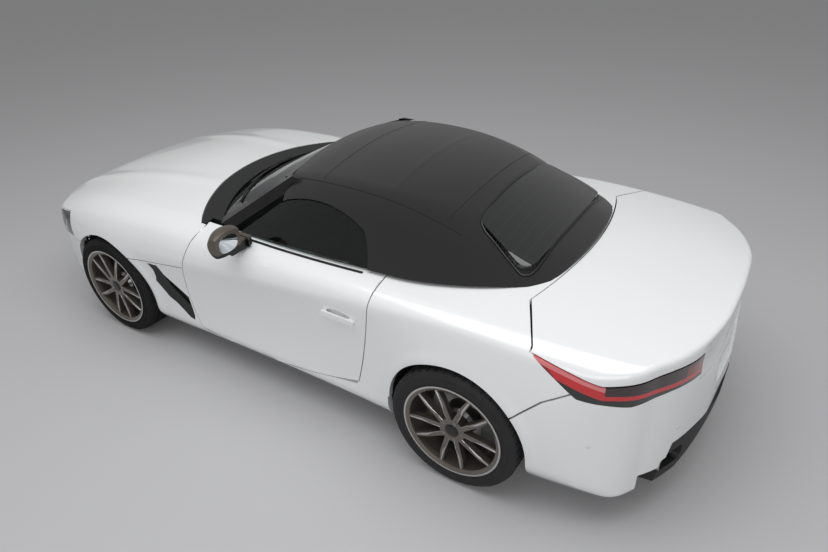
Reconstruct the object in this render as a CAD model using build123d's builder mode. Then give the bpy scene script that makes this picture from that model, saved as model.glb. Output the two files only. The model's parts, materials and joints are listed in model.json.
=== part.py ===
from build123d import *
import os
from math import cos, radians, sin, tan

# Two-seat roadster with a folding fabric roof.  Millimetres.
# X points forward, Y to the driver's left, Z up; the origin lies on the ground at mid-length.

# ---------------------------------------------------------------- driving dimensions
LENGTH = 4324
HALF_LENGTH = LENGTH / 2
WHEELBASE = 2470
FRONT_OVERHANG = 840
FRONT_AXLE_X = HALF_LENGTH - FRONT_OVERHANG
REAR_AXLE_X = FRONT_AXLE_X - WHEELBASE
FRONT_TRACK = 1594
REAR_TRACK = 1589
FRONT_TYRE_RADIUS = 330.5
FRONT_TYRE_WIDTH = 255
REAR_TYRE_RADIUS = 337.5
REAR_TYRE_WIDTH = 275
RIM_SEAT_RADIUS = 241
RIM_LIP_RADIUS = 257
ARCH_CLEARANCE = 32
SHEET = 30
LINER = 8
SHUT_GAP = 6
SEAL_GAP = 0.3
ROOF_HEIGHT = 1304
FABRIC = 22
GLASS = 5
DOOR_INNER_Y = 715
FLOOR_Z = 168
FLOOR_THICKNESS = 20
STEERING_WHEEL_RADIUS = 183
SEAT_Y = 370
FAR = 1300

# ---------------------------------------------------------------- body skin
# One row per station along X.  Each section runs from the flat floor up the flank
# to the crease at the widest line, over the shoulder and across the top.
SKIN_COLUMNS = ("x", "low", "y_sill", "z_sill", "y_waist", "z_waist",
                "y_crease", "z_crease", "y_shoulder", "z_shoulder", "z_top")
SKIN_STATIONS = [
    (2200, 190, 760, 270, 780, 420, 800, 540, 690, 660, 735),
    (1900, 180, 820, 255, 840, 440, 860, 580, 745, 755, 815),
    (1600, 170, 870, 245, 893, 455, 908, 610, 790, 825, 880),
    (1322, 165, 890, 240, 915, 470, 926, 640, 810, 865, 925),
    (900, 165, 882, 240, 895, 520, 912, 670, 805, 895, 955),
    (400, 165, 872, 245, 868, 560, 893, 725, 785, 905, 962),
    (-200, 165, 870, 250, 858, 590, 886, 785, 778, 925, 970),
    (-700, 165, 880, 255, 882, 610, 893, 840, 785, 945, 985),
    (-1148, 165, 905, 260, 932, 640, 902, 862, 805, 960, 995),
    (-1600, 175, 895, 270, 915, 600, 888, 850, 785, 950, 985),
    (-1950, 200, 850, 290, 862, 560, 850, 820, 730, 930, 968),
    (-2200, 230, 780, 310, 790, 540, 780, 790, 640, 910, 950),
]
FLOOR_TURN = 60
SHOULDER_BULGE_Y = 18
SHOULDER_BULGE_Z = 14


def skin_loft(inset):
    """The lofted flank and top, moved inwards by inset."""
    with BuildPart() as skin:
        for station in SKIN_STATIONS:
            s = dict(zip(SKIN_COLUMNS, station))
            y_floor = s["y_sill"] - FLOOR_TURN - inset
            y_top = s["y_shoulder"] - inset * 0.6
            z_top = s["z_shoulder"] - inset * 0.9
            y_mid = (s["y_crease"] + s["y_shoulder"]) / 2 + SHOULDER_BULGE_Y - inset * 0.85
            z_mid = (s["z_crease"] + s["z_shoulder"]) / 2 + SHOULDER_BULGE_Z - inset * 0.5
            with BuildSketch(Plane.YZ.offset(s["x"])):
                with BuildLine():
                    for side in (1, -1):
                        Polyline(
                            (0, s["low"] + inset),
                            (side * y_floor, s["low"] + inset),
                            (side * (s["y_sill"] - inset), s["z_sill"]),
                            (side * (s["y_waist"] - inset), s["z_waist"]),
                            (side * (s["y_crease"] - inset), s["z_crease"]),
                        )
                        ThreePointArc(
                            (side * (s["y_crease"] - inset), s["z_crease"]),
                            (side * y_mid, z_mid),
                            (side * y_top, z_top),
                        )
                    ThreePointArc((y_top, z_top), (0, s["z_top"] - inset), (-y_top, z_top))
                make_face()
        loft()
    return skin.part


# Plan outline: nose and tail bow, corners drawn in.
NOSE_X = HALF_LENGTH
TAIL_X = -HALF_LENGTH
NOSE_CORNER = (1985, 700)
NOSE_SHOULDER = (1700, 905)
TAIL_CORNER = (-1962, 690)
TAIL_SHOULDER = (-1692, 895)
FLANK = 960


def plan_prism(inset):
    """Nose and tail as seen from above, extruded through the whole height."""
    nose_x, nose_y = NOSE_CORNER[0] - inset, NOSE_CORNER[1] - inset
    bow_x, bow_y = NOSE_SHOULDER[0] - inset, NOSE_SHOULDER[1] - inset
    tail_x, tail_y = TAIL_CORNER[0] + inset, TAIL_CORNER[1] - inset
    hip_x, hip_y = TAIL_SHOULDER[0] + inset, TAIL_SHOULDER[1] - inset
    with BuildPart() as plan:
        with BuildSketch():
            with BuildLine():
                ThreePointArc((nose_x, -nose_y), (NOSE_X - inset, 0), (nose_x, nose_y))
                ThreePointArc((nose_x, nose_y), (nose_x - 95, nose_y + 118), (bow_x, bow_y))
                Polyline((bow_x, bow_y), (bow_x - 250, FLANK), (hip_x + 250, FLANK), (hip_x, hip_y))
                ThreePointArc((hip_x, hip_y), (tail_x + 130, tail_y + 140), (tail_x, tail_y))
                ThreePointArc((tail_x, tail_y), (TAIL_X + inset, 0), (tail_x, -tail_y))
                ThreePointArc((tail_x, -tail_y), (tail_x + 130, -tail_y - 140), (hip_x, -hip_y))
                Polyline((hip_x, -hip_y), (hip_x + 250, -FLANK), (bow_x - 250, -FLANK), (bow_x, -bow_y))
                ThreePointArc((bow_x, -bow_y), (nose_x - 95, -nose_y - 118), (nose_x, -nose_y))
            make_face()
        extrude(amount=FAR)
    return plan.part


def profile_prism(inset):
    """Nose and tail as seen from the side, extruded across the car."""
    front, rear = NOSE_X - inset, TAIL_X + inset
    with BuildPart() as profile:
        with BuildSketch(Plane.XZ):
            with BuildLine():
                ThreePointArc((front - 60, 150), (front, 430), (front - 25, 640))
                ThreePointArc((front - 25, 640), (front - 70, 715), (front - 190, 790))
                Polyline((front - 190, 790), (front - 500, FAR), (rear + 300, FAR), (rear + 42, 960 - inset))
                ThreePointArc((rear + 42, 960 - inset), (rear + 70, 860), (rear + 60, 760))
                ThreePointArc((rear + 60, 760), (rear + 6, 600), (rear, 480))
                ThreePointArc((rear, 480), (rear + 40, 300), (rear + 150, 150))
                Line((rear + 150, 150), (front - 60, 150))
            make_face()
        extrude(amount=FAR, both=True)
    return profile.part


def body_solid(inset):
    with BuildPart() as body:
        add(profile_prism(inset))
        add(plan_prism(inset), mode=Mode.INTERSECT)
        add(skin_loft(inset), mode=Mode.INTERSECT)
    return body.part


OUTER = body_solid(0)
INNER = body_solid(SHEET)
WITHIN = body_solid(SHEET + SEAL_GAP)


def arch_prism(extra):
    """All four wheel openings, each a cylinder from the flank inwards."""
    with BuildPart() as arches:
        for x, radius in ((FRONT_AXLE_X, FRONT_TYRE_RADIUS), (REAR_AXLE_X, REAR_TYRE_RADIUS)):
            for side in (1, -1):
                with BuildSketch(Plane.XZ.offset(-side * 980)):
                    with Locations((x, radius)):
                        Circle(radius + ARCH_CLEARANCE + extra)
                    with Locations((x, radius / 2 - 50)):
                        Rectangle(2 * (radius + ARCH_CLEARANCE + extra), radius + 100)
                extrude(amount=side * 500)
    return arches.part


with BuildPart() as shell:
    add(OUTER)
    add(INNER, mode=Mode.SUBTRACT)
    add(arch_prism(0), mode=Mode.SUBTRACT)
SHELL = shell.part

# ---------------------------------------------------------------- shut lines
DOOR_TOP_FRONT = (459.5, 1000)
DOOR_WING_FRONT = (537.8, 839.4)
DOOR_CREASE_FRONT = (604.5, 676)
DOOR_BULGE_FRONT = (630, 480)
DOOR_LOW_FRONT = (575, 258)
DOOR_LOW_MID = (-60, 246)
DOOR_LOW_REAR = (-585, 352)
DOOR_MID_REAR = (-650, 640)
DOOR_TOP_REAR = (-700, 1000)
DOOR_FACE_SLOPE = 0.07


def door_prism(gap, side):
    """Door outline grown by gap; the rear face leans forward going inwards so it swings clear."""
    with BuildPart() as door:
        with BuildSketch(Plane.XZ.offset(-side * 980)):
            with BuildLine():
                ThreePointArc(DOOR_TOP_FRONT, DOOR_WING_FRONT, DOOR_CREASE_FRONT)
                ThreePointArc(DOOR_CREASE_FRONT, DOOR_BULGE_FRONT, DOOR_LOW_FRONT)
                ThreePointArc(DOOR_LOW_FRONT, DOOR_LOW_MID, DOOR_LOW_REAR)
                ThreePointArc(DOOR_LOW_REAR, DOOR_MID_REAR, DOOR_TOP_REAR)
                Line(DOOR_TOP_REAR, DOOR_TOP_FRONT)
            make_face()
            if gap:
                offset(amount=gap, kind=Kind.INTERSECTION)
        extrude(amount=300, dir=(DOOR_FACE_SLOPE, -side, 0))
    return door.part


BONNET_SILL = (612, 676)
BONNET_ARCH = (1168, 604)
LAMP_REAR_LOW = (1650, 590)
LAMP_REAR_TOP = (1714, 742)
LAMP_FRONT_TOP = (1960, 700)
BONNET_NOSE = (2110, 690)
COWL_SIDE = (560, 735)
COWL_FRONT_X = 850
GLASS_FOOT_SIDE = (478, 705)
GLASS_FOOT_X = 755


def bonnet_prism(gap):
    """Clamshell bonnet in side view, down to the crease and over the front arches."""
    with BuildPart() as region:
        with BuildSketch(Plane.XZ):
            with BuildLine():
                Polyline(
                    (BONNET_SILL[0] - 250, BONNET_SILL[1] + 20), BONNET_SILL, BONNET_ARCH,
                    LAMP_REAR_LOW, LAMP_REAR_TOP, LAMP_FRONT_TOP, BONNET_NOSE,
                    (BONNET_NOSE[0] + 200, BONNET_NOSE[1]), (BONNET_NOSE[0] + 200, FAR),
                    (BONNET_SILL[0] - 250, FAR), close=True,
                )
            make_face()
            if gap:
                offset(amount=gap, kind=Kind.INTERSECTION)
        extrude(amount=FAR, both=True)
    return region.part


def cowl_prism(gap):
    """Everything behind the bonnet's rear edge, in plan."""
    with BuildPart() as region:
        with BuildSketch():
            with BuildLine():
                ThreePointArc(
                    (COWL_SIDE[0] + gap, -COWL_SIDE[1] - gap), (COWL_FRONT_X + gap, 0),
                    (COWL_SIDE[0] + gap, COWL_SIDE[1] + gap),
                )
                Polyline(
                    (COWL_SIDE[0] + gap, COWL_SIDE[1] + gap), (300, COWL_SIDE[1] + gap),
                    (300, -COWL_SIDE[1] - gap), (COWL_SIDE[0] + gap, -COWL_SIDE[1] - gap),
                )
            make_face()
        extrude(amount=FAR)
    return region.part


LAMP_TAIL_TIP = (-1487, 902)
LAMP_KINK_TOP = (-1780, 842)
LAMP_END_TOP = (-1990, 868)
LAMP_END_LOW = (-1990, 762)
LAMP_LOW_REAR = (-1880, 742)
LAMP_LOW_MID = (-1690, 765)
LAMP_INNER_Y = 470


def tail_lamp_prism(gap, side):
    """Swept lamp seen from the side; it wraps round the rear corner."""
    with BuildPart() as region:
        with BuildSketch(Plane.XZ.offset(-side * 980)):
            with BuildLine():
                Polyline(
                    LAMP_TAIL_TIP, LAMP_KINK_TOP, LAMP_END_TOP, (LAMP_END_TOP[0] - 250, LAMP_END_TOP[1]),
                    (LAMP_END_TOP[0] - 250, LAMP_END_LOW[1]), LAMP_END_LOW, LAMP_LOW_REAR,
                    LAMP_LOW_MID, close=True,
                )
            make_face()
            if gap:
                offset(amount=gap, kind=Kind.INTERSECTION)
        extrude(amount=side * (980 - LAMP_INNER_Y + gap))
    return region.part


BOOT_FRONT_X = -1452
BOOT_CORNER = (-1362, 600)
BOOT_SIDE = (-1480, 855)
BOOT_LOW_Z = 735


def boot_prism(gap):
    """Boot lid: plan outline, kept above the lamps and above the plate panel."""
    with BuildPart() as region:
        with BuildSketch():
            with BuildLine():
                ThreePointArc(
                    (BOOT_CORNER[0] + gap, -BOOT_CORNER[1] - gap), (BOOT_FRONT_X + gap, 0),
                    (BOOT_CORNER[0] + gap, BOOT_CORNER[1] + gap),
                )
                Polyline(
                    (BOOT_CORNER[0] + gap, BOOT_CORNER[1] + gap), (BOOT_SIDE[0] + gap, BOOT_SIDE[1]),
                    (BOOT_SIDE[0] + gap, 980), (-2300, 980), (-2300, -980), (BOOT_SIDE[0] + gap, -980),
                    (BOOT_SIDE[0] + gap, -BOOT_SIDE[1]), (BOOT_CORNER[0] + gap, -BOOT_CORNER[1] - gap),
                )
            make_face()
        extrude(amount=FAR)
        with BuildSketch(Plane.XZ):
            with BuildLine():
                Polyline(
                    (-1300, FAR), (-1300, 905 - gap), (LAMP_TAIL_TIP[0], LAMP_TAIL_TIP[1] + SHUT_GAP - gap),
                    (LAMP_KINK_TOP[0], LAMP_KINK_TOP[1] + SHUT_GAP - gap),
                    (LAMP_END_TOP[0], LAMP_END_TOP[1] + SHUT_GAP - gap),
                    (LAMP_END_TOP[0] - 300, LAMP_END_TOP[1] + SHUT_GAP - gap), (-2300, FAR), close=True,
                )
            make_face()
        extrude(amount=FAR, both=True, mode=Mode.INTERSECT)
        with BuildSketch(Plane.XY.offset(BOOT_LOW_Z - gap)):
            with Locations((-2100, 0)):
                Rectangle(300, 2 * (LAMP_INNER_Y - SHUT_GAP + gap))
        extrude(amount=200)
    return region.part


REAR_SEAM = [(-1430, 560), (-1560, 700), (-1700, 800)]
SILL_TOP_FRONT = (1400, 250)


def rear_bumper_prism(gap):
    with BuildPart() as region:
        with BuildSketch(Plane.XZ):
            with BuildLine():
                Polyline(
                    (-1300, 100), (-1300, 540), (REAR_SEAM[0][0] + gap, REAR_SEAM[0][1] + gap),
                    (REAR_SEAM[1][0] + gap, REAR_SEAM[1][1] + gap), (REAR_SEAM[2][0] + gap, REAR_SEAM[2][1] + gap),
                    (-2300, 870 + gap), (-2300, 100), close=True,
                )
            make_face()
        extrude(amount=FAR, both=True)
    return region.part


def front_bumper_prism(gap):
    with BuildPart() as region:
        with BuildSketch(Plane.XZ):
            with BuildLine():
                Polyline(
                    (1400 - gap, 100), (1400 - gap, 760), (2400, 760), (2400, 100), close=True,
                )
            make_face()
        extrude(amount=FAR, both=True)
    return region.part


def sill_prism(gap):
    """Band below the door between the front and rear wheel openings."""
    with BuildPart() as region:
        with BuildSketch(Plane.XZ):
            with BuildLine():
                Polyline((1300, 100), (1300, 238 + gap), (600, 238 + gap), (-60, 232 + gap), (-600, 335 + gap),
                         (-700, 352 + gap), (-1100, 352 + gap), (-1100, 100), close=True)
            make_face()
        extrude(amount=FAR, both=True)
    return region.part


DOOR_GAP_LEFT = door_prism(SHUT_GAP, 1)
DOOR_GAP_RIGHT = door_prism(SHUT_GAP, -1)
BONNET_GAP = bonnet_prism(SHUT_GAP)
BOOT_GAP = boot_prism(SHUT_GAP + 2)
TAIL_LAMP_GAP_LEFT = tail_lamp_prism(SEAL_GAP, 1)
TAIL_LAMP_GAP_RIGHT = tail_lamp_prism(SEAL_GAP, -1)


def headlamp_prism(gap, side):
    with BuildPart() as region:
        with BuildSketch(Plane.XZ.offset(-side * 980)):
            with BuildLine():
                Polyline(
                    (LAMP_REAR_LOW[0] + 12 - gap, LAMP_REAR_LOW[1] + 10 - gap),
                    (LAMP_REAR_TOP[0] + 8 - gap, LAMP_REAR_TOP[1] - SHUT_GAP - 2 + gap),
                    (LAMP_FRONT_TOP[0], LAMP_FRONT_TOP[1] - SHUT_GAP - 2 + gap),
                    (BONNET_NOSE[0], BONNET_NOSE[1] - SHUT_GAP - 2 + gap), (2300, BONNET_NOSE[1] - SHUT_GAP - 2 + gap),
                    (2300, 600 - gap), (1960, 575 - gap), close=True,
                )
            make_face()
        extrude(amount=side * (980 - 480 + gap))
    return region.part


HEADLAMP_GAP_LEFT = headlamp_prism(SEAL_GAP, 1)
HEADLAMP_GAP_RIGHT = headlamp_prism(SEAL_GAP, -1)

# ---------------------------------------------------------------- fabric roof skin
# Sections across the closed roof: foot on the deck, straight flank, round rail, crown.
ROOF_COLUMNS = ("x", "y_foot", "y_rail", "z_rail", "z_crown")
ROOF_STATIONS = [
    (450, 785, 545, 1150, 1232),
    (160, 785, 545, 1150, 1232),
    (0, 785, 568, 1176, 1272),
    (-200, 788, 578, 1192, 1297),
    (-400, 792, 578, 1192, 1304),
    (-650, 800, 570, 1168, 1290),
    (-850, 815, 565, 1122, 1250),
    (-1050, 812, 552, 1060, 1178),
    (-1250, 800, 530, 1000, 1085),
    (-1400, 770, 500, 968, 1026),
    (-1520, 740, 480, 940, 985),
]
ROOF_FOOT_Z = 860
RAIL_TURN = 0.72


def roof_loft(inset):
    with BuildPart() as roof:
        for station in ROOF_STATIONS:
            r = dict(zip(ROOF_COLUMNS, station))
            foot = r["y_foot"] - inset
            rail_y, rail_z = r["y_rail"] - inset, r["z_rail"] - inset * 0.3
            crown = r["z_crown"] - inset
            top_y = rail_y - 105
            top_z = rail_z + (crown - rail_z) * RAIL_TURN - 6
            mid_y, mid_z = rail_y - 36, rail_z + (top_z - rail_z) * 0.62
            with BuildSketch(Plane.YZ.offset(r["x"])):
                with BuildLine():
                    for side in (1, -1):
                        Polyline((0, ROOF_FOOT_Z), (side * foot, ROOF_FOOT_Z), (side * rail_y, rail_z))
                        ThreePointArc((side * rail_y, rail_z), (side * mid_y, mid_z), (side * top_y, top_z))
                    ThreePointArc((top_y, top_z), (0, crown), (-top_y, top_z))
                make_face()
        loft()
    return roof.part


ROOF_FRONT_X = 118
ROOF_FRONT_SIDE = (30, 560)
ROOF_TAIL_X = -1443
ROOF_TAIL_CORNER = (-1350, 600)
ROOF_HIP = (-1130, 762)


def roof_plan(inset):
    """Outline of the fabric on the deck, round at its rear corners."""
    tail, corner = ROOF_TAIL_X + inset, (ROOF_TAIL_CORNER[0] + inset, ROOF_TAIL_CORNER[1] - inset)
    hip = (ROOF_HIP[0] + inset, ROOF_HIP[1] - inset)
    with BuildPart() as plan:
        with BuildSketch():
            with BuildLine():
                ThreePointArc((corner[0], -corner[1]), (tail, 0), (corner[0], corner[1]))
                ThreePointArc((corner[0], corner[1]), (-1270 + inset, 697 - inset), hip)
                Polyline(hip, (-700, 835 - inset), (600, 835 - inset), (600, -835 + inset),
                         (-700, -835 + inset), (hip[0], -hip[1]))
                ThreePointArc((hip[0], -hip[1]), (-1270 + inset, -697 + inset), (corner[0], -corner[1]))
            make_face()
        extrude(amount=FAR + 100)
    return plan.part


def roof_solid(inset):
    with BuildPart() as roof:
        add(roof_plan(inset))
        add(roof_loft(inset), mode=Mode.INTERSECT)
    return roof.part


ROOF_OUTER = roof_solid(0)
ROOF_INNER = roof_solid(FABRIC)


def header_prism(gap):
    """Everything ahead of the windscreen header's rear edge, in plan."""
    with BuildPart() as region:
        with BuildSketch():
            with BuildLine():
                ThreePointArc((ROOF_FRONT_SIDE[0] - gap, -640), (ROOF_FRONT_X - gap, 0), (ROOF_FRONT_SIDE[0] - gap, 640))
                Polyline((ROOF_FRONT_SIDE[0] - gap, 640), (0 - gap, 1000), (1000, 1000),
                         (1000, -1000), (0 - gap, -1000), (ROOF_FRONT_SIDE[0] - gap, -640))
            make_face()
        extrude(amount=FAR + 100)
    return region.part


# Side window seen from the side: belt, foot of the pillar, round top, rear edge.
WINDOW_FOOT = (372, 850)
WINDOW_FRONT_TOP = (62, 1100)
WINDOW_CROWN = (-240, 1158)
WINDOW_REAR_TOP = (-500, 1092)
WINDOW_REAR_FOOT = (-590, 850)


def window_prism(gap, side):
    with BuildPart() as window:
        with BuildSketch(Plane.XZ.offset(-side * 980)):
            with BuildLine():
                Line(WINDOW_REAR_FOOT, WINDOW_FOOT)
                Line(WINDOW_FOOT, WINDOW_FRONT_TOP)
                ThreePointArc(WINDOW_FRONT_TOP, WINDOW_CROWN, WINDOW_REAR_TOP)
                ThreePointArc(WINDOW_REAR_TOP, (-566, 985), WINDOW_REAR_FOOT)
            make_face()
            if gap:
                offset(amount=gap, kind=Kind.INTERSECTION)
        extrude(amount=side * 600)
    return window.part


REAR_GLASS_LOW = (-1300, 500)
REAR_GLASS_TOP = (-1000, 400)


def rear_glass_prism(gap):
    """Heated rear glass: a trapezium with rounded corners, cut straight down."""
    with BuildPart() as region:
        with BuildSketch():
            with BuildLine():
                ThreePointArc((REAR_GLASS_LOW[0] + 10 - gap, -REAR_GLASS_LOW[1] - gap), (-1318 - gap, 0),
                              (REAR_GLASS_LOW[0] + 10 - gap, REAR_GLASS_LOW[1] + gap))
                Line((REAR_GLASS_LOW[0] + 10 - gap, REAR_GLASS_LOW[1] + gap), (REAR_GLASS_TOP[0] + gap, REAR_GLASS_TOP[1] + gap))
                ThreePointArc((REAR_GLASS_TOP[0] + gap, REAR_GLASS_TOP[1] + gap), (-985 + gap, 0),
                              (REAR_GLASS_TOP[0] + gap, -REAR_GLASS_TOP[1] - gap))
                Line((REAR_GLASS_TOP[0] + gap, -REAR_GLASS_TOP[1] - gap), (REAR_GLASS_LOW[0] + 10 - gap, -REAR_GLASS_LOW[1] - gap))
            make_face()
            fillet(vertices(), 60)
        extrude(amount=FAR + 100)
    return region.part


# ---------------------------------------------------------------- painted panels
with BuildPart() as bonnet:
    add(SHELL)
    add(bonnet_prism(0), mode=Mode.INTERSECT)
    add(cowl_prism(SHUT_GAP), mode=Mode.SUBTRACT)
    add(DOOR_GAP_LEFT, mode=Mode.SUBTRACT)
    add(DOOR_GAP_RIGHT, mode=Mode.SUBTRACT)
    with BuildSketch(Plane.XZ):
        with Locations((100, 1000)):
            Rectangle(660, 900)
    extrude(amount=FAR, both=True, mode=Mode.SUBTRACT)

with BuildPart() as boot_lid:
    add(SHELL)
    add(boot_prism(0), mode=Mode.INTERSECT)

with BuildPart() as cowl:
    add(SHELL)
    add(cowl_prism(0), mode=Mode.INTERSECT)
    with BuildSketch(Plane.XY.offset(700)):
        with BuildLine():
            ThreePointArc((GLASS_FOOT_SIDE[0] - 60, -GLASS_FOOT_SIDE[1] - 20), (GLASS_FOOT_X - 60, 0),
                          (GLASS_FOOT_SIDE[0] - 60, GLASS_FOOT_SIDE[1] + 20))
            Polyline((GLASS_FOOT_SIDE[0] - 60, GLASS_FOOT_SIDE[1] + 20), (0, 900), (0, -900),
                     (GLASS_FOOT_SIDE[0] - 60, -GLASS_FOOT_SIDE[1] - 20))
        make_face()
    extrude(amount=600, mode=Mode.SUBTRACT)
    with Locations((600, 0, 350)):
        Box(900, 2000, 700, mode=Mode.SUBTRACT)
    add(DOOR_GAP_LEFT, mode=Mode.SUBTRACT)
    add(DOOR_GAP_RIGHT, mode=Mode.SUBTRACT)


# Pull handle near the door's rear edge: a bar across an oval finger pocket
HANDLE_CENTRE = (-493, 732)
HANDLE_Y = 884
HANDLE_LENGTH = 204
HANDLE_POCKET = 14
HANDLE_PROUD = 16


def left_door_solid():
    with BuildPart() as door:
        add(OUTER)
        add(door_prism(0, 1), mode=Mode.INTERSECT)
        with BuildSketch(Plane.XZ.offset(-DOOR_INNER_Y)):
            Rectangle(4000, 4000)
        extrude(amount=DOOR_INNER_Y, mode=Mode.SUBTRACT)
        with Locations((-60, DOOR_INNER_Y + 12, 560)):
            Box(940, 60, 400, mode=Mode.SUBTRACT)
        with BuildSketch(Plane.XZ.offset(-HANDLE_Y + HANDLE_POCKET)):
            with Locations(HANDLE_CENTRE):
                Ellipse(80, 34)
        extrude(amount=-60, mode=Mode.SUBTRACT)
        with BuildSketch(Plane.XZ.offset(-HANDLE_Y + HANDLE_POCKET)):
            with Locations(HANDLE_CENTRE):
                RectangleRounded(HANDLE_LENGTH, 26, 12)
        extrude(amount=-HANDLE_POCKET - HANDLE_PROUD)
        with BuildSketch(Plane.XZ.offset(-HANDLE_Y + HANDLE_POCKET)):
            with Locations(HANDLE_CENTRE):
                Ellipse(76, 30)
        extrude(amount=-HANDLE_POCKET - HANDLE_PROUD + 12, mode=Mode.SUBTRACT)
    return door.part


door_left_solid = left_door_solid()
with BuildPart() as door_left:
    add(door_left_solid)
with BuildPart() as door_right:
    add(door_left_solid)
    mirror(about=Plane.XZ, mode=Mode.REPLACE)


CABIN_HALF = 705
BULKHEAD_X = 690
REAR_WALL_X = -790
WALL = 14


def side_slab(y_from, side):
    """Everything outboard of y_from on one side."""
    with BuildPart() as slab:
        with BuildSketch(Plane.XZ.offset(-side * y_from)):
            Rectangle(5000, 3000)
        extrude(amount=-side * 600)
    return slab.part


VENT_OUTLINE = [(935, 618), (880, 622), (652, 452), (634, 300), (668, 322), (712, 420)]


def vent_prism(gap, side):
    with BuildPart() as vent:
        with BuildSketch(Plane.XZ.offset(-side * 980)):
            with BuildLine():
                Polyline(*VENT_OUTLINE, close=True)
            make_face()
            if gap:
                offset(amount=gap, kind=Kind.INTERSECTION)
        extrude(amount=side * 250)
    return vent.part


WING_FRONT_X = 1400


def left_wing():
    with BuildPart() as wing:
        add(SHELL)
        with BuildSketch(Plane.XY.offset(238 + SEAL_GAP)):
            with Locations(((WING_FRONT_X + 500) / 2, 800)):
                Rectangle(WING_FRONT_X - 500, 400)
        extrude(amount=460, mode=Mode.INTERSECT)
        add(BONNET_GAP, mode=Mode.SUBTRACT)
        add(DOOR_GAP_LEFT, mode=Mode.SUBTRACT)
        add(front_bumper_prism(SHUT_GAP), mode=Mode.SUBTRACT)
        add(vent_prism(0, 1), mode=Mode.SUBTRACT)
        with Locations((460, 800, 450)):
            Box(200, 400, 900, mode=Mode.SUBTRACT)
    return wing.part


left_wing_solid = left_wing()
with BuildPart() as wing_left:
    add(left_wing_solid)
with BuildPart() as wing_right:
    add(left_wing_solid)
    mirror(about=Plane.XZ, mode=Mode.REPLACE)

# Ribbed inserts that close the side vents, set in from the surface
VENT_DEPTH = 14
VENT_INNER = body_solid(VENT_DEPTH)
with BuildPart() as side_vents:
    add(VENT_INNER)
    add(INNER, mode=Mode.SUBTRACT)
    add(vent_prism(-SEAL_GAP, 1), mode=Mode.INTERSECT)
    mirror(about=Plane.XZ)


def left_sill():
    with BuildPart() as sill:
        add(OUTER)
        add(sill_prism(0), mode=Mode.INTERSECT)
        add(arch_prism(LINER + SEAL_GAP), mode=Mode.SUBTRACT)
        add(DOOR_GAP_LEFT, mode=Mode.SUBTRACT)
        with BuildSketch(Plane.XZ.offset(-CABIN_HALF)):
            Rectangle(5000, 3000)
        extrude(amount=3000, mode=Mode.SUBTRACT)
    return sill.part


left_sill_solid = left_sill()
with BuildPart() as sills:
    add(left_sill_solid)
    mirror(about=Plane.XZ)


def left_quarter():
    with BuildPart() as quarter:
        add(SHELL)
        with BuildSketch(Plane.XY.offset(238)):
            with Locations((-1300, CABIN_HALF + 200)):
                Rectangle(1460, 400)
        extrude(amount=900, mode=Mode.INTERSECT)
        add(DOOR_GAP_LEFT, mode=Mode.SUBTRACT)
        add(sill_prism(SEAL_GAP), mode=Mode.SUBTRACT)
        add(rear_bumper_prism(SHUT_GAP), mode=Mode.SUBTRACT)
        add(BOOT_GAP, mode=Mode.SUBTRACT)
        add(TAIL_LAMP_GAP_LEFT, mode=Mode.SUBTRACT)
    return quarter.part


left_quarter_solid = left_quarter()
with BuildPart() as quarter_left:
    add(left_quarter_solid)
with BuildPart() as quarter_right:
    add(left_quarter_solid)
    mirror(about=Plane.XZ, mode=Mode.REPLACE)

with BuildPart() as rear_deck:
    add(SHELL)
    with BuildSketch(Plane.XY.offset(700)):
        with Locations(((REAR_WALL_X - 1500) / 2, 0)):
            Rectangle(1500 + REAR_WALL_X, 2 * CABIN_HALF)
    extrude(amount=400, mode=Mode.INTERSECT)
    add(BOOT_GAP, mode=Mode.SUBTRACT)

TAIL_PIPE_X = -2022
TAIL_PIPE_Y = 530
TAIL_PIPE_Z = 300
TAIL_PIPE_WIDTH = 150
TAIL_PIPE_HEIGHT = 80


def tail_pipe_prism():
    """Clearance through the bumper and diffuser for both tail pipes."""
    with BuildPart() as region:
        with BuildSketch(Plane.YZ.offset(TAIL_X)):
            for side in (1, -1):
                with Locations((side * TAIL_PIPE_Y, TAIL_PIPE_Z)):
                    RectangleRounded(TAIL_PIPE_WIDTH + 4, TAIL_PIPE_HEIGHT + 4, 26)
        extrude(amount=400)
    return region.part


# Blank recess for the plate, between the lid's lower edge and the bumper
PLATE_RECESS = [(-300, 716), (300, 716), (268, 585), (-268, 585)]
with BuildPart() as plate_recess:
    add(OUTER)
    add(VENT_INNER, mode=Mode.SUBTRACT)
    with BuildSketch(Plane.YZ.offset(-2300)):
        with BuildLine():
            Polyline(*PLATE_RECESS, close=True)
        make_face()
        fillet(vertices(), 20)
    extrude(amount=500, mode=Mode.INTERSECT)

DIFFUSER_WIDTH = 1240
DIFFUSER_TOP = 420
with BuildPart() as rear_bumper:
    add(SHELL)
    add(rear_bumper_prism(0), mode=Mode.INTERSECT)
    add(BOOT_GAP, mode=Mode.SUBTRACT)
    add(TAIL_LAMP_GAP_LEFT, mode=Mode.SUBTRACT)
    add(TAIL_LAMP_GAP_RIGHT, mode=Mode.SUBTRACT)
    with BuildSketch(Plane.XY.offset(100)):
        with Locations((-1800, 0)):
            Rectangle(700, 2 * CABIN_HALF)
    extrude(amount=200, mode=Mode.SUBTRACT)
    with BuildSketch(Plane.YZ.offset(-2250)):
        with Locations((0, DIFFUSER_TOP - 120)):
            Trapezoid(DIFFUSER_WIDTH, 240, 75)
    extrude(amount=400, mode=Mode.SUBTRACT)
    add(tail_pipe_prism(), mode=Mode.SUBTRACT)
    with Locations((-1400, 0, 560)):
        Box(200, 1200, 900, mode=Mode.SUBTRACT)
    add(plate_recess.part, mode=Mode.SUBTRACT)

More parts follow.
